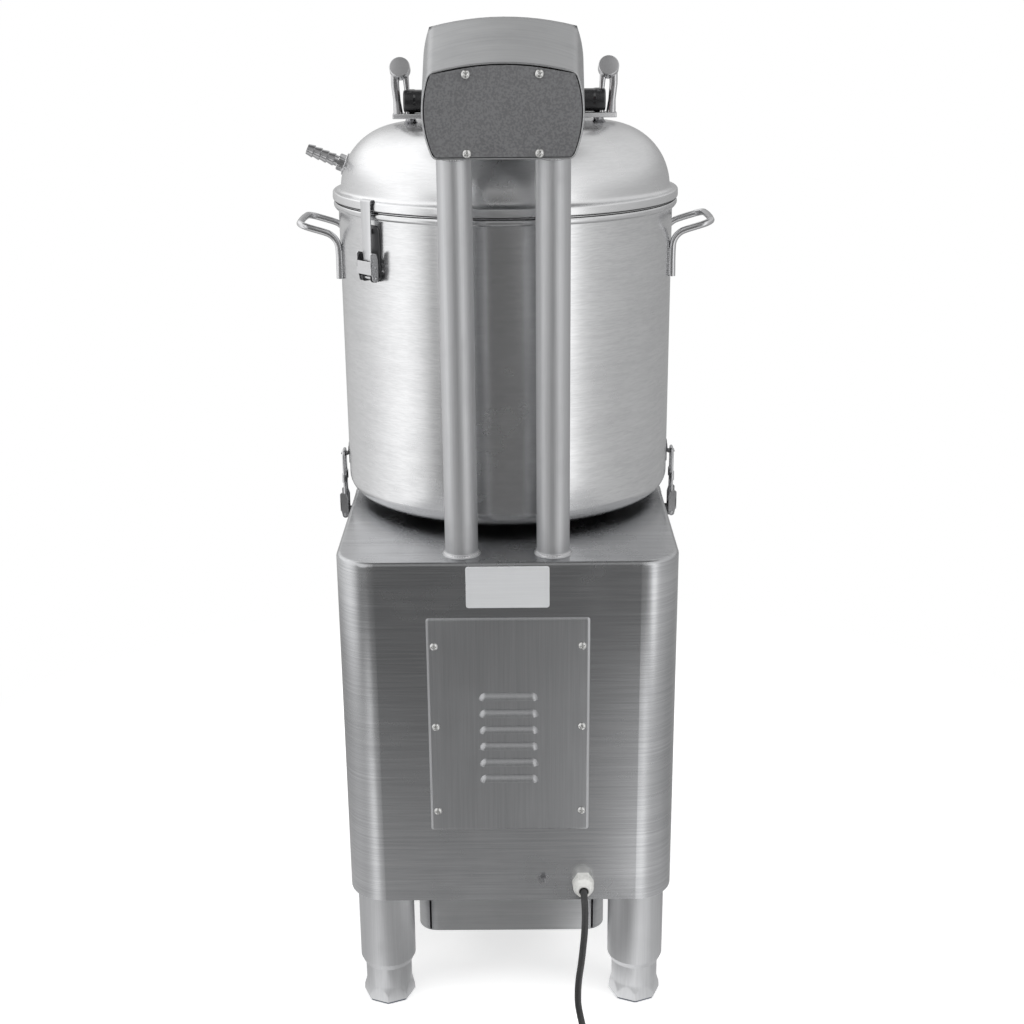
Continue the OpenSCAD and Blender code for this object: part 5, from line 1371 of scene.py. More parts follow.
@dataclass
class Lid:
    """The spun lid with its rolled bead, and the handle that stands on it, in mm."""

    base_z: float = 950.3
    bead_height: float = 10.0
    bead_radius: float = 206.5
    shoulder: float = 74.0
    shoulder_x: float = 122.5
    shoulder_end: float = 84.0
    dome_height: float = 78.0
    sheet: float = 1.5
    bar_z: float = 1040.3
    bar: tuple[float, float, float] = (264.0, 25.0, 6.0)
    grip_radius: float = 13.75
    grip_half: float = 119.0
    loop_x: float = 122.25
    loop_top: float = 1110.3
    head_radius: float = 12.2

    def dome_line(self, inset: float) -> np.ndarray:
        """Works out half the dome's outline: an arc for the shoulder, then a shallow parabola to the axis.

        Args:
            inset: Distance inwards.

        Returns:
            Points (r, z).
        """
        base = self.base_z + self.bead_height
        r = self.shoulder - inset
        a = np.radians(np.linspace(0.0, self.shoulder_end, 40))
        arc = np.column_stack([self.shoulder_x + r * np.cos(a), base + r * np.sin(a)])
        s = np.linspace(1.0, 0.0, 16)[1:]
        crown = np.column_stack([arc[-1, 0] * s, arc[-1, 1] + (base + self.dome_height - inset - arc[
            -1, 1]) * (1 - s**2)])
        return np.concatenate([arc, crown])

    def dome(self) -> None:
        """Makes the dome: outer skin over the bead and the shoulder to the top, and the inner skin back."""
        low, bead = self.base_z, self.bead_height
        top, r = low + bead, self.bead_radius
        rim = fillet([(r - 8.0, low), (r - 0.2, low), (r, low + 3.0), (r - 0.4, top), (r - 5.0, top)],
            [0, 1.8, 3, 3.6, 0])
        s = np.linspace(0.0, 1.0, 7)[1:-1, None]
        outer = self.dome_line(0.0)
        start, end, knee = rim[-1], outer[2], np.array([self.shoulder_x + self.shoulder + 0.4, top + 0.2])
        cove = (1 - s) ** 2 * start + 2 * s * (1 - s) * knee + s**2 * end
        inner = self.dome_line(self.sheet)[::-1]
        edge = np.array([[inner[-1, 0], low]])
        profile = np.concatenate([edge, rim, cove, outer[2:], inner, edge])
        lathe(profile, 144).piece("lid_shell", FINISHES.lid, "lid", ("lid_dome",), "polished_lid", sharp=50.0)

    def leg(self, side: int, points: Sequence[Vector3], sizes: Sequence[tuple[float, float]]) -> Shape:
        """Carries an oval along a few points; its width and depth follow the sizes smoothly.

        Args:
            side: 1 at +X, -1 at -X.
            points: Middle points at the +X side.
            sizes: Half width and half depth at each point.

        Returns:
            The leg.
        """
        line = np.asarray(points, float)
        at = np.linspace(0.0, 1.0, len(line))
        t = np.linspace(0.0, 1.0, 24)
        path = np.column_stack([np.interp(t, at, line[:, k]) for k in range(3)])
        path[1:-1] = (path[:-2] + 2 * path[1:-1] + path[2:]) / 4
        wide = np.interp(t, at, [w for w, _ in sizes])[:, None]
        deep = np.interp(t, at, [d for _, d in sizes])[:, None]
        a = np.linspace(0.0, 2 * math.pi, 28, endpoint=False)
        square = 0.62
        x = wide * np.sign(np.cos(a)) * np.abs(np.cos(a)) ** square
        y = deep * np.sign(np.sin(a)) * np.abs(np.sin(a)) ** square
        rings = path[:, None] + np.stack([x, y, 0 * x], axis=-1)
        first, last = np.broadcast_to(path[0], (1, 28, 3)), np.broadcast_to(path[-1], (1, 28, 3))
        shape = Shape().grid(np.concatenate([first, rings, last]), close_v=True)
        return shape.mirrored() if side < 0 else shape

    def handle(self) -> None:
        """Makes the handle's frame: the bar on stand-offs, and at each end two legs under a slanting head."""
        length, depth, thick = self.bar
        top = self.bar_z + thick
        a = np.linspace(0.0, 2 * math.pi, 48, endpoint=False)
        section = np.column_stack([depth / 2 * np.sign(np.cos(a)) * np.abs(np.cos(a)) ** 0.12,
            thick / 2 * np.sign(np.sin(a)) * np.abs(np.sin(a)) ** 0.3])
        x = np.array([-length / 2, -length / 2 + 0.5, -length / 2 + 1.4, 0, length / 2 - 1.4,
            length / 2 - 0.5, length / 2])
        size = np.array([0.93, 0.98, 1, 1, 1, 0.98, 0.93])[:, None, None]
        rings = np.stack([np.broadcast_to(x[:, None], (7, 48)), np.broadcast_to(section[:, 0],
            (7, 48)) * size[..., 0], self.bar_z + thick / 2 + np.broadcast_to(section[:, 1], (7, 48)) * size[
            ..., 0]], axis=-1)
        ends = [rings[k].mean(axis=0) * np.ones((1, 48, 3)) for k in (0, -1)]
        shape = Shape().grid(np.concatenate([ends[0], rings, ends[1]]), close_v=True)
        collar = lathe(fillet([(0, 1031.5), (10.5, 1033.6), (6.6, 1037.5), (6, 1040.6), (0, 1040.6)],
            [0, 1, 4, 0, 0]), 40)
        head_axis = np.array([0.0, 0.90, 0.436])
        for side in (-1, 1):
            shape.join(collar.moved((side * 111.0, 0.0, 0.0)))
            middle = np.array([side * self.loop_x, 1.5, self.loop_top - self.head_radius - 1.2])
            r = self.head_radius
            shape.join(lathe(fillet([(0, -9), (r - 1.6, -9), (r, -5), (r, 5.6), (r - 0.7, 6.4), (0, 6.4)],
                [0, 3, 3, 0.6, 0.6, 0]), 56).placed(*frame_at(middle, head_axis, (1, 0, 0))))
            outer = [(self.loop_x + 5.6, -1.0, middle[2] + 3.0), (self.loop_x + 6.4, -1.5, middle[2] - 18.0),
                     (self.loop_x + 4.6, -1.0, top + 14.0), (self.loop_x + 3.4, 0.0, top - 0.4)]
            shape.join(self.leg(side, outer, [(5.2, 6.8), (4.7, 6.2), (4.3, 6.6), (5.6, 9.0)]))
            inner = [(self.loop_x - 5.0, -1.0, middle[2] + 1.0), (self.loop_x - 6.6, -1.0, middle[2] - 14.0),
                (self.loop_x - 7.6, -0.5, top + 2 * self.grip_radius - 3.0), (self.loop_x - 7.6, 0.0,
                top - 0.4)]
            shape.join(self.leg(side, inner, [(4.6, 5.6), (3.4, 4.8), (2.9, 4.8), (3.0, 7.4)]))
        shape.piece("lid_handle_loops", FINISHES.rod, "lid", ("lid_handle_frame",), "polished_rod",
            sharp=48.0)

    def grip(self) -> None:
        """Makes the black grip: a glossy tube with a shallow waist and rolled ends."""
        z = self.bar_z + self.bar[2] + self.grip_radius
        r, half = self.grip_radius, self.grip_half
        line = fillet([(0, -half), (r - 2.0, -half), (r, -half + 1.5), (r, -half + 12),
            (r - 0.6, -half + 14.5), (r - 0.25, 0), (r - 0.6, half - 14.5), (r, half - 12), (r, half - 1.5),
            (r - 2.0, half), (0, half)], [0, 1, 1.4, 1, 2, 60, 2, 1, 1.4, 1, 0])
        lathe(line, 64).placed(*frame_at((0, 0, z), (1, 0, 0), (0, 0, 1))).piece("lid_grip", FINISHES.gloss,
            "lid", ("lid_handle_grip",), "black_plastic")

    def inlet(self) -> None:
        """Makes the water inlet at 22 degrees up: a hexagon on the dome and a barbed, bored hose tail."""
        tilt = math.radians(22.0)
        origin, axes = frame_at((191.1, 0.0, 988.0), (math.cos(tilt), 0.0, math.sin(tilt)), (0, 0, 1))

        def hexagon(rad: np.ndarray, z: np.ndarray, a: np.ndarray) -> np.ndarray:
            """Radius of a hexagon 21 mm over its corners, chamfered, where the profile asks for 10.5."""
            flat = 10.5 * math.cos(math.pi / 6) / np.cos(np.mod(a, math.pi / 3) - math.pi / 6)
            return np.where(rad > 9.9, np.minimum(flat, 10.25), rad)

        barb = [(4.0, 0.0), (9.0, 0.0), (10.5, 0.9), (10.5, 8.2), (9.3, 9.0), (6.3, 9.0), (6.3, 13.5)]
        for k in range(4):
            z = 14.0 + k * 8.6
            barb += [(7.5, z), (7.4, z + 1.2), (6.2, z + 7.4), (6.2, z + 8.2)]
        barb += [(6.0, 47.4), (5.4, 48.0), (4.3, 48.0), (4.0, 47.6), (4.0, 0.0)]
        shape = lathe(barb, 96, hexagon).placed(origin, axes)
        washer = lathe([(4.2, -1.2), (12.6, -1.2), (13.4, 0.2), (12.2, 1.0), (4.2, 1.0), (4.2, -1.2)],
            64).placed(origin, axes)
        shape.join(washer).piece("inlet_tail", FINISHES.rod, "lid", ("water_inlet",), "polished_rod",
            sharp=28.0)

    def build(self) -> None:
        """Makes the lid's pieces."""
        self.dome()
        self.handle()
        self.grip()
        self.inlet()


# Rear panel, nameplate and feet


@dataclass
class AccessPanel:
    """The screwed-on rear panel with its bevelled edge and louvres, and the bare nameplate, in mm."""

    half: float = 92.0
    low: float = 251.5
    high: float = 519.5
    back: float = 286.5
    face: float = 288.0
    corner: float = 3.4
    bevel: float = 2.4
    louvre_z: float = 318.5
    pitch: float = 20.8
    count: int = 6
    spine: float = 26.0
    end: float = 8.0
    lip: float = 3.0
    rise: float = 8.8
    proud: float = 4.5
    wall: float = 1.1
    plate: tuple[float, float, float] = (46.5, 531.5, 580.5)

    def ring(self, half: float, low: float, high: float, corner: float, inset: float, y: float,
             xs: Sequence[float] = (), zs: Sequence[float] = ()) -> np.ndarray:
        """Makes a rounded rectangle, drawn in by an inset, with points on its straight sides at given places.

        Args:
            half: Half width.
            low: Lowest z.
            high: Highest z.
            corner: Corner radius at inset 0.
            inset: Distance inwards.
            y: Place along y.
            xs: Places of points on the lower and upper sides.
            zs: Places of points on the two upright sides.

        Returns:
            The ring's points, anticlockwise in x and z.
        """
        r = max(corner - inset, 0.0)
        a = np.radians(np.linspace(0.0, 90.0, 7))
        w, lo, hi = half - inset - r, low + inset + r, high - inset - r
        sides = (
            [(x, hi + r) for x in sorted(xs, reverse=True)],
            [(-w - r, z) for z in sorted(zs, reverse=True)],
            [(x, lo - r) for x in sorted(xs)],
            [(w + r, z) for z in sorted(zs)],
        )
        runs = []
        for quarter, (cx, cz) in enumerate(((w, hi), (-w, hi), (-w, lo), (w, lo))):
            turn = a + quarter * math.pi / 2
            runs.append(np.column_stack([cx + r * np.cos(turn), cz + r * np.sin(turn)]))
            runs.append(np.array(sides[quarter]).reshape(-1, 2))
        flat = np.concatenate(runs)
        return np.column_stack([flat[:, 0], np.full(len(flat), y), flat[:, 1]])

    def sheet(self) -> Shape:
        """Makes the sheet: bevelled rim, and a front and a back that are cut open behind each louvre."""
        bottoms = [self.louvre_z + k * self.pitch - self.lip for k in range(self.count)]
        windows = [(z + 0.3, z + 4.4) for z in bottoms]
        xs = [-self.spine, self.spine]
        zs = sorted(z for window in windows for z in window)
        insets = [self.corner, 0.5, 0.1, 0.0, 0.0, self.bevel - 0.3, self.bevel + 0.4, self.corner]
        depths = [self.back, self.back, self.back + 0.02, self.back + 0.1, self.back + 0.25, self.face - 0.1,
            self.face, self.face]
        box = (self.half, self.low, self.high, self.corner)
        rings = np.stack([self.ring(*box, i, y, xs, zs) for i, y in zip(insets, depths)])
        shape = Shape().grid(rings, close_v=True)
        edge_x = [-self.half + self.corner, *xs, self.half - self.corner]
        edge_z = [self.low + self.corner, *zs, self.high - self.corner]
        for y in (self.back, self.face):
            for row in range(len(edge_z) - 1):
                for col in range(3):
                    if row % 2 == 1 and col == 1:
                        continue
                    x, z = np.meshgrid(edge_x[col:col + 2], edge_z[row:row + 2])
                    shape.grid(np.stack([x, np.full_like(x, y), z], axis=-1))
        for low, high in windows:
            loop = np.array([(xs[0], low), (xs[1], low), (xs[1], high), (xs[0], high)])
            walls = [np.column_stack([loop[:, 0], np.full(4, y), loop[:, 1]]) for y in (self.back, self.face)]
            shape.grid(np.stack(walls), close_v=True)
        return shape

    def louvre(self) -> Shape:
        """Makes one louvre: a hood whose height is p f(1 - q), where q runs from its mouth to its foot.

        The plan is half a capsule over the mouth: q = 0 on the mouth's middle line and 1 all round the foot.
        f(s) = 1 - (1 - s)^2.6 less a little at the mouth, and an inner skin lies one wall behind.
        """
        a = np.radians(np.linspace(0.0, 90.0, 17))
        x = np.concatenate([self.spine + self.end * np.cos(a), np.linspace(self.spine, -self.spine, 9)[1:-1],
            -self.spine - self.end * np.cos(a[::-1])])
        z = np.concatenate([self.rise * np.sin(a), np.full(7, self.rise), self.rise * np.sin(a[::-1])])
        root = np.clip(x, -self.spine, self.spine)
        shares = (np.linspace(1.0, 0.85, 5), np.linspace(0.8, 0.2, 13), np.linspace(0.15, 0.0, 5))
        q = np.concatenate(shares)[:, None]
        s = 1.0 - q
        rising = 1.0 - (1.0 - s) ** 2.6 - 0.07 * s**5
        px, pz = root + (x - root) * q, z * q
        outer = np.stack([px, self.face - 0.05 + self.proud * rising + 0 * px, pz], axis=-1)
        inner = outer - np.array([0.0, self.wall, 0.0])
        loop = np.concatenate([outer, inner[::-1]])
        shape = Shape().grid(loop, close_u=True)
        for end in (0, -1):
            shape.grid(np.stack([outer[:, end], inner[:, end]]))
        return shape

    def build(self) -> None:
        """Makes the panel with its louvres, and the nameplate with a plain raised border."""
        shape = self.sheet()
        for k in range(self.count):
            shape.join(self.louvre().moved((0.0, 0.0, self.louvre_z + k * self.pitch - self.lip)))
        shape.piece("rear_panel_sheet", FINISHES.panel, "root", ("rear_access_panel",), "matt_panel",
            sharp=34.0, merge=0.000004)
        half, low, high = self.plate
        rows = ((3.0, 0.0), (0.2, 0.0), (0.0, 0.15), (0.0, 0.55), (0.25, 0.8), (2.6, 0.8), (2.75, 0.55),
            (3.0, 0.55))
        rings = [self.ring(half, low, high, 3.0, inset, self.back + y) for inset, y in rows]
        middle = np.broadcast_to(np.array([0.0, 0.0, (low + high) / 2]), rings[0].shape).copy()
        first, last = middle.copy(), middle.copy()
        first[:, 1], last[:, 1] = self.back, self.back + 0.55
        plate = Shape().grid(np.stack([first, *rings, last]), close_v=True)
        plate.piece("blank_nameplate", FINISHES.label, "root", ("nameplate",), "label_foil", sharp=30.0)


@dataclass
class Feet:
    """The four screw feet: a round steel sleeve that flares into an eight-sided base on a grey pad, in mm."""

    places: tuple = ((152.0, 245.0), (-152.0, 245.0), (152.0, -174.0), (-152.0, -174.0))
    bodies: tuple = ("foot_a", "foot_b", "foot_c", "foot_d")
    sleeve: float = 28.0
    top: float = 76.0
    flare_z: float = 23.0
    flat: float = 29.1
    pad_height: float = 4.0
    pad_radius: float = 29.6

    def base(self) -> Shape:
        """Makes the sleeve and its base: r is the smaller of a flaring cone and eight flats that lean in."""

        def radius(r: np.ndarray, z: np.ndarray, a: np.ndarray) -> np.ndarray:
            """The cone's radius, cut by the flats and eased where they meet."""
            fold = np.mod(a, math.pi / 4) - math.pi / 8
            flats = (self.flat - 0.05 * (z - self.pad_height)) / np.cos(fold)
            cone = self.sleeve + 6.2 * np.clip((self.flare_z - z) / (self.flare_z - self.pad_height), 0.0,
                1.0) ** 1.35
            return np.where(r > self.sleeve - 0.5, np.minimum(cone, flats), r)

        z = np.concatenate([np.linspace(self.pad_height, self.flare_z, 26), [28.0, 40.0, 60.0,
            self.top - 1.0]])
        wall = [(self.sleeve, value) for value in z]
        profile = [(0.0, self.pad_height), (20.0, self.pad_height), *wall, (self.sleeve - 1.0, self.top),
            (0.0, self.top)]
        return lathe(profile, 128, radius)

    def build(self) -> None:
        """Makes a sleeve and a pad at each leg."""
        a = self.pad_radius
        for number, (place, body) in enumerate(zip(self.places, self.bodies), start=1):
            offset = (*place, 0.0)

            def octagon(r: np.ndarray, z: np.ndarray, turn: np.ndarray) -> np.ndarray:
                """Eight flats whose corners lie at the profile's radius, slightly eased."""
                fold = np.mod(turn, math.pi / 4) - math.pi / 8
                return np.minimum(r * math.cos(math.pi / 8) / np.cos(fold), r * 0.992)

            pad = lathe([(0.0, 0.0), (a - 1.2, 0.0), (a, 1.0), (a, self.pad_height), (0.0, self.pad_height)],
                96, octagon)
            pad.moved(offset).piece(f"foot_pad_{number}", FINISHES.pad, body, (), "black_rubber", sharp=30.0)
            self.base().moved(offset).piece(f"foot_sleeve_{number}", FINISHES.tube, body,
                (f"foot_{number}",), "brushed_sheet", sharp=28.0)


# Latches


@dataclass
class Latches:
    """The two lid and the two drum latches in mm, built at the +X side in u (outwards), v (round) and z."""

    lid_turns: tuple[float, float] = (42.0, 222.0)
    base_turns: tuple[float, float] = (0.0, 180.0)
    pin_u: float = 208.0
    lid_pin_z: float = 876.0
    base_pin_z: float = 550.0
    arm: float = 12.0
    width: float = 24.0
    wall: float = 200.0
    side: float = 193.5
    sheet: float = 1.5
    lever_height: float = 29.0
    strap_u: float = 208.5
    strap_top: float = 961.8
    bail_height: float = 70.0
    bail_half: float = 10.0
    keeper_z: float = 629.7

    def upright(self, shape: Shape, u: float) -> Shape:
        """Stands a slab up: its outline's a and b become v and z, and its thickness runs outwards from u."""
        return shape.placed(np.array([u, 0.0, 0.0]), np.array([[0.0, 1.0, 0.0], [0.0, 0.0, 1.0],
            [1.0, 0.0, 0.0]]))

    def sideways(self, shape: Shape, v: float) -> Shape:
        """Stands a slab up: its outline's a and b become u and z, and its thickness runs back from v."""
        return shape.placed(np.array([0.0, v, 0.0]), np.array([[1.0, 0.0, 0.0], [0.0, 0.0, 1.0],
            [0.0, -1.0, 0.0]]))

    def pin(self, u: float, z: float, radius: float, half: float) -> Shape:
        """Makes a pin along v with domed ends.

        Args:
            u: Place outwards.
            z: Height.
            radius: Radius of the pin.
            half: Half its length without the domes.

        Returns:
            The pin.
        """
        line = fillet([(0, -half - 1.0), (radius * 0.8, -half - 0.9), (radius, -half), (radius, half),
            (radius * 0.8, half + 0.9), (0, half + 1.0)], [0, 0.6, 0.4, 0.4, 0.6, 0])
        return lathe(line, 24).placed(*frame_at((u, 0.0, z), (0.0, 1.0, 0.0)))

    def lever(self, z: float, point: float) -> Shape:
        """Makes a lever: a face with rounded lower corners between two cheeks that taper to a point below.

        Args:
            z: Height of the pin.
            point: How far the cheeks reach below the pin.

        Returns:
            The lever.
        """
        cheek = self.width / 2 + self.sheet
        out = self.pin_u + 6.5
        top = z + self.lever_height
        face = rounded_rectangle(-cheek, cheek, z + 4.0, z + 19.0, (0.6, 0.6, 2.0, 2.0))
        shape = self.upright(slab(face, 0.0, self.sheet), out - self.sheet)
        a = np.radians(np.linspace(180.0, 360.0, 17))
        foot = np.column_stack([self.pin_u + 0.4 + 3.8 * np.cos(a), z - point + 3.8 + 3.8 * np.sin(a)])
        side = np.concatenate([foot, [(out - 0.8, z + 6.0), (out, z + 12.0), (out, top - 2.0),
            (out - 2.0, top), (self.pin_u - 1.5, top - 1.5), (self.pin_u - 3.5, top - 8.0)]])
        for v in (cheek, -cheek + self.sheet):
            shape.join(self.sideways(slab(side, 0.0, self.sheet, 0.25), v))
        return shape.join(self.pin(self.pin_u, z, 2.0, cheek + 0.4))

    def strap(self) -> Shape:
        """Makes a lid strap: a band that hooks over the lid's bead, narrows below and curls round its pin."""
        low = self.lid_pin_z + self.arm
        turn = np.radians(np.linspace(90.0, -150.0, 14))
        curl = np.column_stack([self.pin_u - 0.6 + 2.4 * np.cos(turn), low + 2.4 * np.sin(turn)])
        corners = np.array([(202.4, 959.9), (203.6, self.strap_top + 0.6), (self.strap_u + 0.6,
            self.strap_top + 0.6), (self.strap_u + 0.6, low + 16.0), (self.strap_u + 1.2, low + 3.0)])
        down = rounded_path(np.column_stack([corners[:, 0], 0 * corners[:, 0], corners[:, 1]]),
            [0, 1.2, 2.6, 14, 0], 8)
        path = np.concatenate([down, np.column_stack([curl[2:, 0], 0 * curl[2:, 0], curl[2:, 1]])])
        gaps = np.linalg.norm(np.diff(path, axis=0), axis=1)
        at = np.concatenate([[0.0], np.cumsum(gaps)])
        half = np.interp(path[:, 2], [low, low + 8.0, low + 26.0], [5.2, 6.0, 9.0])
        even = unit(np.gradient(path, at, axis=0))
        across = np.column_stack([-even[:, 2], 0 * even[:, 0], even[:, 0]])
        section = np.array([(1, -0.5), (1, 0.5), (0.96, 0.6), (-0.96, 0.6), (-1, 0.5), (-1, -0.5),
            (-0.96, -0.6), (0.96, -0.6)])
        rings = path[:, None] + across[:, None] * section[None, :, 1:] \
            + half[:, None, None] * section[None, :, :1] * np.array([0.0, 1.0, 0.0])
        ends = [np.broadcast_to(path[k], (1, 8, 3)) for k in (0, -1)]
        return Shape().grid(np.concatenate([ends[0], rings, ends[1]]), close_v=True).join(
            self.pin(self.pin_u, low, 1.75, 13.5))

    def bail(self) -> Shape:
        """Makes a wire bail: an upright loop whose feet turn out into the lever's cheeks."""
        z = self.base_pin_z + self.arm
        corners = np.array([(self.pin_u, -13.4, z), (self.pin_u, -self.bail_half, z),
            (self.pin_u, -self.bail_half, z + self.bail_height), (self.pin_u, self.bail_half,
            z + self.bail_height), (self.pin_u, self.bail_half, z), (self.pin_u, 13.4, z)])
        path = rounded_path(corners, [0, 1.8, 4.0, 4.0, 1.8, 0], 10)
        shape = sweep(path, 1.9, 18, hint=(1, 0, 0))
        sleeve = lathe(fillet([(0, 0), (2.5, 0), (2.9, 0.8), (2.9, 11), (2.5, 12), (0, 12)],
            [0, 0.4, 0.4, 0.4, 0.4, 0]), 24)
        for v in (-self.bail_half, self.bail_half):
            shape.join(sleeve.moved((self.pin_u, v, z + 30.0)))
        return shape

    def plate(self, wall: float, low: float, high: float, z: float) -> Shape:
        """Makes a base plate with rounded ends, two ears for the pin and two rivets.

        Args:
            wall: Place of the plate's back.
            low: Lower end.
            high: Upper end.
            z: Height of the pin.

        Returns:
            The plate.
        """
        outline = rounded_rectangle(-self.width / 2, self.width / 2, low, high, (8.0, 8.0, 8.0, 8.0))
        shape = self.upright(slab(outline, 0.0, self.sheet), wall - 0.3)
        ear = rounded_rectangle(wall + 0.4, self.pin_u + 4.0, z - 5.0, z + 5.0, (4.4, 0.4, 0.4, 4.4))
        for v in (-self.width / 3, self.width / 3):
            shape.join(self.sideways(slab(ear, 0.0, self.sheet, 0.25), v + self.sheet / 2))
        rivet = lathe([(0, 0), (3.2, 0), (3.0, 0.8), (2.0, 1.5), (0, 1.7)], 24)
        for height in (low + 7.0, high - 7.0):
            shape.join(rivet.copied().placed(*frame_at((wall + self.sheet - 0.35, 0.0, height),
                (1.0, 0.0, 0.0), (0, 1, 0))))
        return shape

    def keeper(self) -> Shape:
        """Makes a drum keeper: a riveted pad and a nose that bends out over the bail."""
        outline = rounded_rectangle(-7.0, 7.0, self.keeper_z - 14.0, self.keeper_z + 14.0, (4.0, 4.0, 4.0,
            4.0))
        shape = self.upright(slab(outline, 0.0, 2.2), self.wall - 0.9)
        path = rounded_path(np.array([(self.wall + 0.6, 0, self.keeper_z + 9.0), (self.wall + 1.6, 0,
            self.keeper_z - 1.4), (self.pin_u + 0.8, 0, self.keeper_z - 1.6), (self.pin_u + 2.6, 0,
            self.keeper_z + 0.2)]), [0, 3, 2, 0], 8)
        section = np.array([(1, -0.19), (1, 0.19), (-1, 0.19), (-1, -0.19)])
        return shape.join(sweep(path, 6.2, hint=(0, 1, 0), section=section[:, ::-1]))

    def build(self) -> None:
        """Makes the straps, levers, bails and, as one piece, the base plates and keepers."""
        plates = Shape()
        for side, lid, base in zip(("left", "right"), self.lid_turns, self.base_turns):
            short = side[0]
            self.strap().turned(lid).piece(f"lid_strap_band_{side}", FINISHES.strap, f"lid_strap_{short}",
                (f"lid_strap_{side}",), "polished_rod", sharp=36.0)
            self.lever(self.lid_pin_z, 4.6).turned(lid).piece(f"lid_lever_box_{side}", FINISHES.rod,
                f"lid_lever_{short}", (f"lid_lever_{side}",), "polished_rod", sharp=34.0)
            self.lever(self.base_pin_z, 4.6).turned(base).piece(f"drum_lever_box_{side}", FINISHES.rod,
                f"base_lever_{short}", (f"base_lever_{side}",), "polished_rod", sharp=34.0)
            self.bail().turned(base).piece(f"drum_bail_wire_{side}", FINISHES.rod, f"base_bail_{short}",
                (f"base_bail_{side}",), "polished_rod", sharp=40.0)
            plates.join(self.plate(self.wall, self.lid_pin_z - 5.0, self.lid_pin_z + 58.0,
                self.lid_pin_z).turned(lid))
            plates.join(self.plate(self.side, self.base_pin_z - 24.0, self.base_pin_z + 29.0,
                self.base_pin_z).turned(base))
            plates.join(self.keeper().turned(base))
        # The base plates and keepers take the dark latch finish, which paints shade and dark reflection onto
        # them.
        plates.piece("latch_base_plates", FINISHES.shaded_latch_backing, "root", ("latch_plates",), "polished_rod",
            sharp=34.0)


# Front pieces


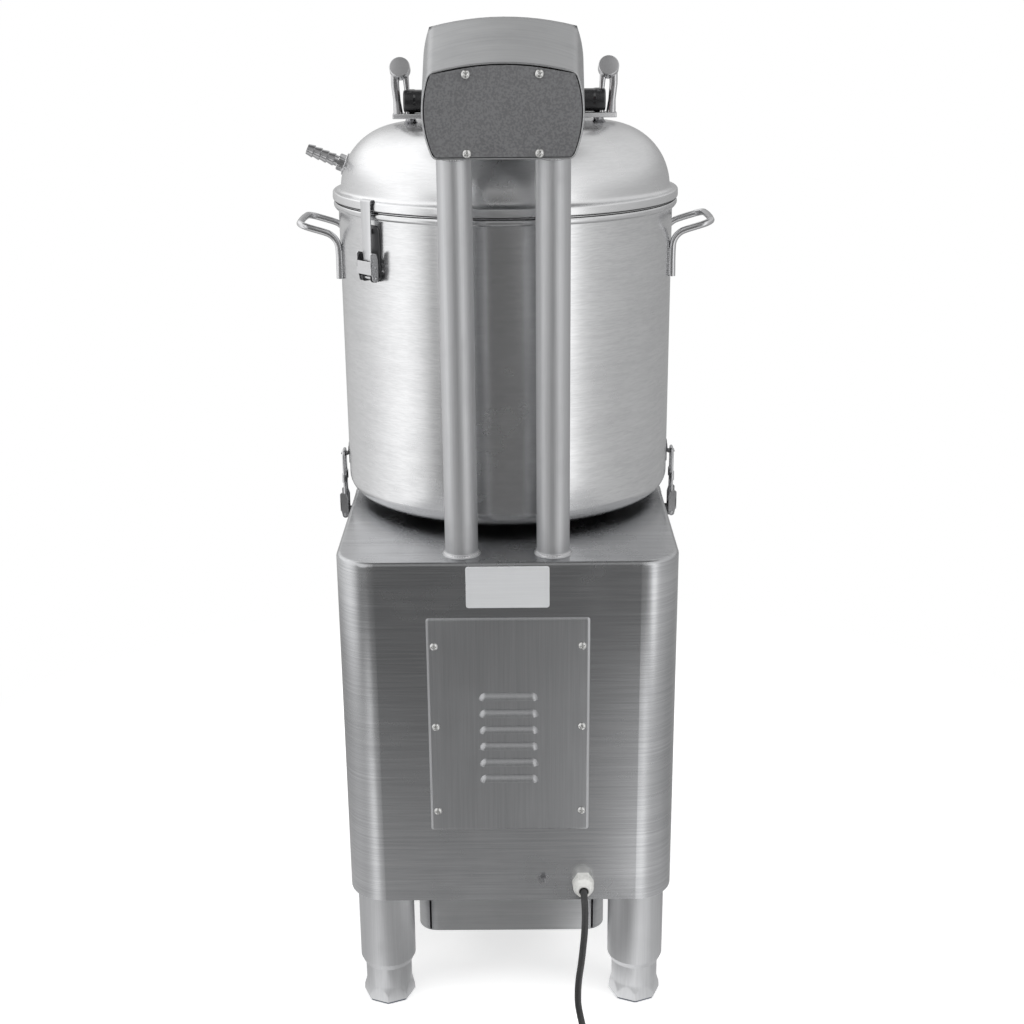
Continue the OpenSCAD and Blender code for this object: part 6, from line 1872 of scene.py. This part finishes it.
@dataclass
class FrontPieces:
    """Knob, buttons and dial marks on the panel, and the discharge door with its handle, in mm."""

    panel_front: float = 123.5
    panel_mid: float = 1107.75
    knob_x: float = 45.0
    stop_x: float = -45.0
    button_rise: float = 20.0
    door_front: float = -269.3
    door_middle: float = 745.0
    door_half: float = 75.0
    door_low: float = 680.0
    door_high: float = 801.7
    door_corner: float = 6.0
    hinge: tuple[float, float] = (-269.51, 816.0)

    def outwards(self, shape: Shape, x: float, y: float, z: float) -> Shape:
        """Stands a shape on the front: its z axis points to -Y from the place (x, y, z)."""
        return shape.placed(*frame_at((x, y, z), (0.0, -1.0, 0.0)))

    def controls(self) -> None:
        """Makes the fluted knob, the dial marks, the bezels, the two buttons and the mushroom head."""
        front, mid = self.panel_front, self.panel_mid
        line = fillet([(0, -13.6), (3, -13.6), (3, 0), (19, 0), (19, 2.4), (16.2, 4.2), (15.6, 17), (0, 17)],
            [0, 0.2, 0.2, 0.4, 1.0, 0.8, 1.6, 0], 8)
        knob = lathe(line, 144, lambda r, z, a: r - 0.45 * (z > 4.4) * (z < 16.0) * (r > 10) * (
            1 + np.cos(18 * a)))
        bar = slab(rounded_rectangle(-2.0, 2.0, -15.0, 15.0, (1.2, 1.2, 1.2, 1.2)), 15.0, 21.0)
        self.outwards(knob.join(bar), self.knob_x, front - 0.3, mid).piece(
            "timer_knob_fluted", FINISHES.black, "timer", ("timer_knob",), "black_plastic", sharp=34.0)
        marks = Shape()
        for step in range(11):
            tick = slab(rounded_rectangle(-0.5, 0.5, 21.0, 24.0, (0.2, 0.2, 0.2, 0.2)), -0.1, 0.25, 0.05)
            marks.join(tick.turned(-150.0 + 30.0 * step))
        self.outwards(marks, self.knob_x, front, mid).piece("dial_marks", FINISHES.label, "root", (),
            "label_foil")
        rims = Shape()
        for x, z, bore in ((0.0, mid + self.button_rise, 10.06), (0.0, mid - self.button_rise, 10.06),
                (self.stop_x, mid, 8.06)):
            ring = fillet([(bore, -26), (bore, 3.2), (bore + 0.8, 4), (12.6, 4), (14, 2.4), (14, 0), (12, 0),
                (12, -26), (bore, -26)], [0, 0.4, 0.5, 0.6, 0.8, 0.3, 0.2, 0.4, 0])
            rims.join(self.outwards(lathe(ring, 64), x, front, z))
        half = 23.0
        case = slab(rounded_rectangle(-half, half, -half, half, (3, 3, 3, 3)), -35.0, -3.0)
        rims.join(self.outwards(case, self.knob_x, front, mid)).piece(
            "panel_bezels", FINISHES.rod, "root", ("panel_fittings",), "black_plastic", sharp=34.0)
        cap = fillet([(0, -22.8), (9.9, -22.8), (9.9, -0.9), (8.6, 0), (7.4, -0.1), (5.0, -0.8), (0, -1.0)],
            [0, 0.4, 0.9, 0.5, 0.6, 1.5, 0])
        for name, colour, way in (("start", "green", 1.0), ("stop", "red", -1.0)):
            self.outwards(lathe(cap, 64), 0.0, front - 7.0, mid + way * self.button_rise).piece(
                f"{name}_cap", getattr(FINISHES, colour), name, (f"{name}_button",), f"{colour}_button",
                sharp=36.0)
        t = np.radians(np.linspace(26.0, 0.0, 14))
        dome = np.column_stack([36.0 * np.sin(t), 36.0 * np.cos(t) - 25.0])
        head = fillet([(0, -21.8), (7.9, -21.8), (7.9, -0.2), (16.6, -0.2), (18, 1.2), (18, 5.4),
            *dome.tolist()], [0, 0.4, 0.8, 0.5, 1.0, 1.6] + [0] * len(dome))
        self.outwards(lathe(head, 96), self.stop_x, front - 8.3, mid).piece(
            "emergency_head", FINISHES.red, "emergency", ("emergency_stop",), "red_button", sharp=36.0)

    def door(self) -> None:
        """Makes the door: a pan with eased edges, a pressed bead along its border, and two hinge knuckles."""
        shape, y = Shape(), self.door_front
        steps = ((60.0, 3.0), (0.5, 3.0), (0.0, 2.5), (0.0, 0.8), (0.25, 0.25), (0.9, 0.0), (8.0, 0.0),
            (9.0, -0.5), (10.2, -0.75), (11.4, -0.5), (12.4, 0.0), (60.0, 0.0))
        rings = []
        for inset, depth in steps:
            corner = max(self.door_corner - inset, 0.6)
            plan = rounded_rectangle(-self.door_half + inset, self.door_half - inset, self.door_low + inset,
                self.door_high - inset, [corner] * 4)
            rings.append(np.column_stack([plan[:, 0], np.full(len(plan), y + depth), plan[:, 1]]))
        shape.grid(np.stack(rings), close_v=True)
        cy, cz = self.hinge
        a = np.radians(np.linspace(-57.0, 265.0, 40))
        outline = np.concatenate([[(y + 3.0, 801.0), (y + 3.0, 810.6)], np.column_stack([cy + 6 * np.cos(a),
            cz + 6 * np.sin(a)]), [(y, 810.0), (y, 801.0)]])
        for low in (-29.3, 15.3):
            knuckle = slab(outline, low, low + 14.0, 0.4)
            shape.join(knuckle.placed(np.zeros(3), np.array([[0, 1.0, 0], [0, 0, 1.0], [1.0, 0, 0]])))
        shape.piece("door_pan", FINISHES.drum, "door", ("discharge_door",), "brushed_sheet", sharp=34.0)
        outline = [(0, 0), (12, 0), (12, 3), (9.4, 6), (8.6, 14), (0, 16)]
        hub = lathe(fillet(outline, [0, 0.5, 1.0, 2.0, 1.5, 0]), 48)
        grip = self.outwards(hub, 0.0, y - 0.3, self.door_middle)
        s = np.linspace(-1.0, 1.0, 61)
        width = 5.5 * np.sqrt(np.clip(1 - np.clip((np.abs(s) * 46 - 40.5) / 5.5, 0, 1) ** 2, 0, 1)) * (
            0.84 + 0.16 * s**2)
        grip.join(lathe(np.column_stack([width, 46.0 * s]), 32).placed(
            *frame_at((0.0, y - 14.3, self.door_middle), (1.0, 0.0, 0.0), (0, 0, 1))))
        grip.piece("door_grip", FINISHES.black, "door_turn", ("door_handle",), "black_plastic", sharp=40.0)

    def build(self) -> None:
        """Makes the controls and the door."""
        self.controls()
        self.door()


# CAD nodes that keep their own shape


@dataclass
class Metalwork:
    """Finishes of the CAD nodes that keep their own shape."""

    cabinet: tuple = ("cabinet_shell", "cabinet_floor")
    drum: tuple = ("drum_shell", "discharge_chute")
    tube: tuple = ("legs", "posts", "drain_duct")
    machined: tuple = ("motor_shaft", "main_shaft", "shaft_bearings", "earth_screw")
    cast: tuple = ("motor_bracket", "motor_pulley", "shaft_pulley", "bearing_housing")
    rubber: tuple = ("v_belt", "shaft_seal", "drum_seat", "door_seal", "lid_seal")
    speckled: tuple = ("box_rear_plate", "control_panel")
    abrasive: tuple = ("drum_lining", "abrasive_disc")
    fastener: tuple = ("drive_bolts",)
    paint: tuple = ("motor_housing",)
    box: tuple = ("peel_tray",)

    def build(self) -> None:
        """Dresses every node; a row has the name of its finish."""
        dressed = {node: row.name for row in fields(self) for node in getattr(self, row.name)}
        for node, finish in dressed.items():
            dress(node, getattr(FINISHES, finish))
            LOG.info("%s: %s finish on the CAD shape", node, finish)
        LOG.info("nodes that finer pieces replace: %s", sorted(set(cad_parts) - set(dressed)))


def main() -> None:
    """Builds the studio and every sub-assembly in order."""
    logging.basicConfig(level=logging.INFO, format="%(name)s: %(message)s")
    bpy.context.scene.view_settings.view_transform = "Standard"
    for assembly in (Studio, PowerLead, Metalwork, Fastenings, PostWelds, DrumHandles, ControlBox, Lid,
            AccessPanel, Feet, Latches, FrontPieces):
        assembly().build()


if __name__ == "__main__":
    main()
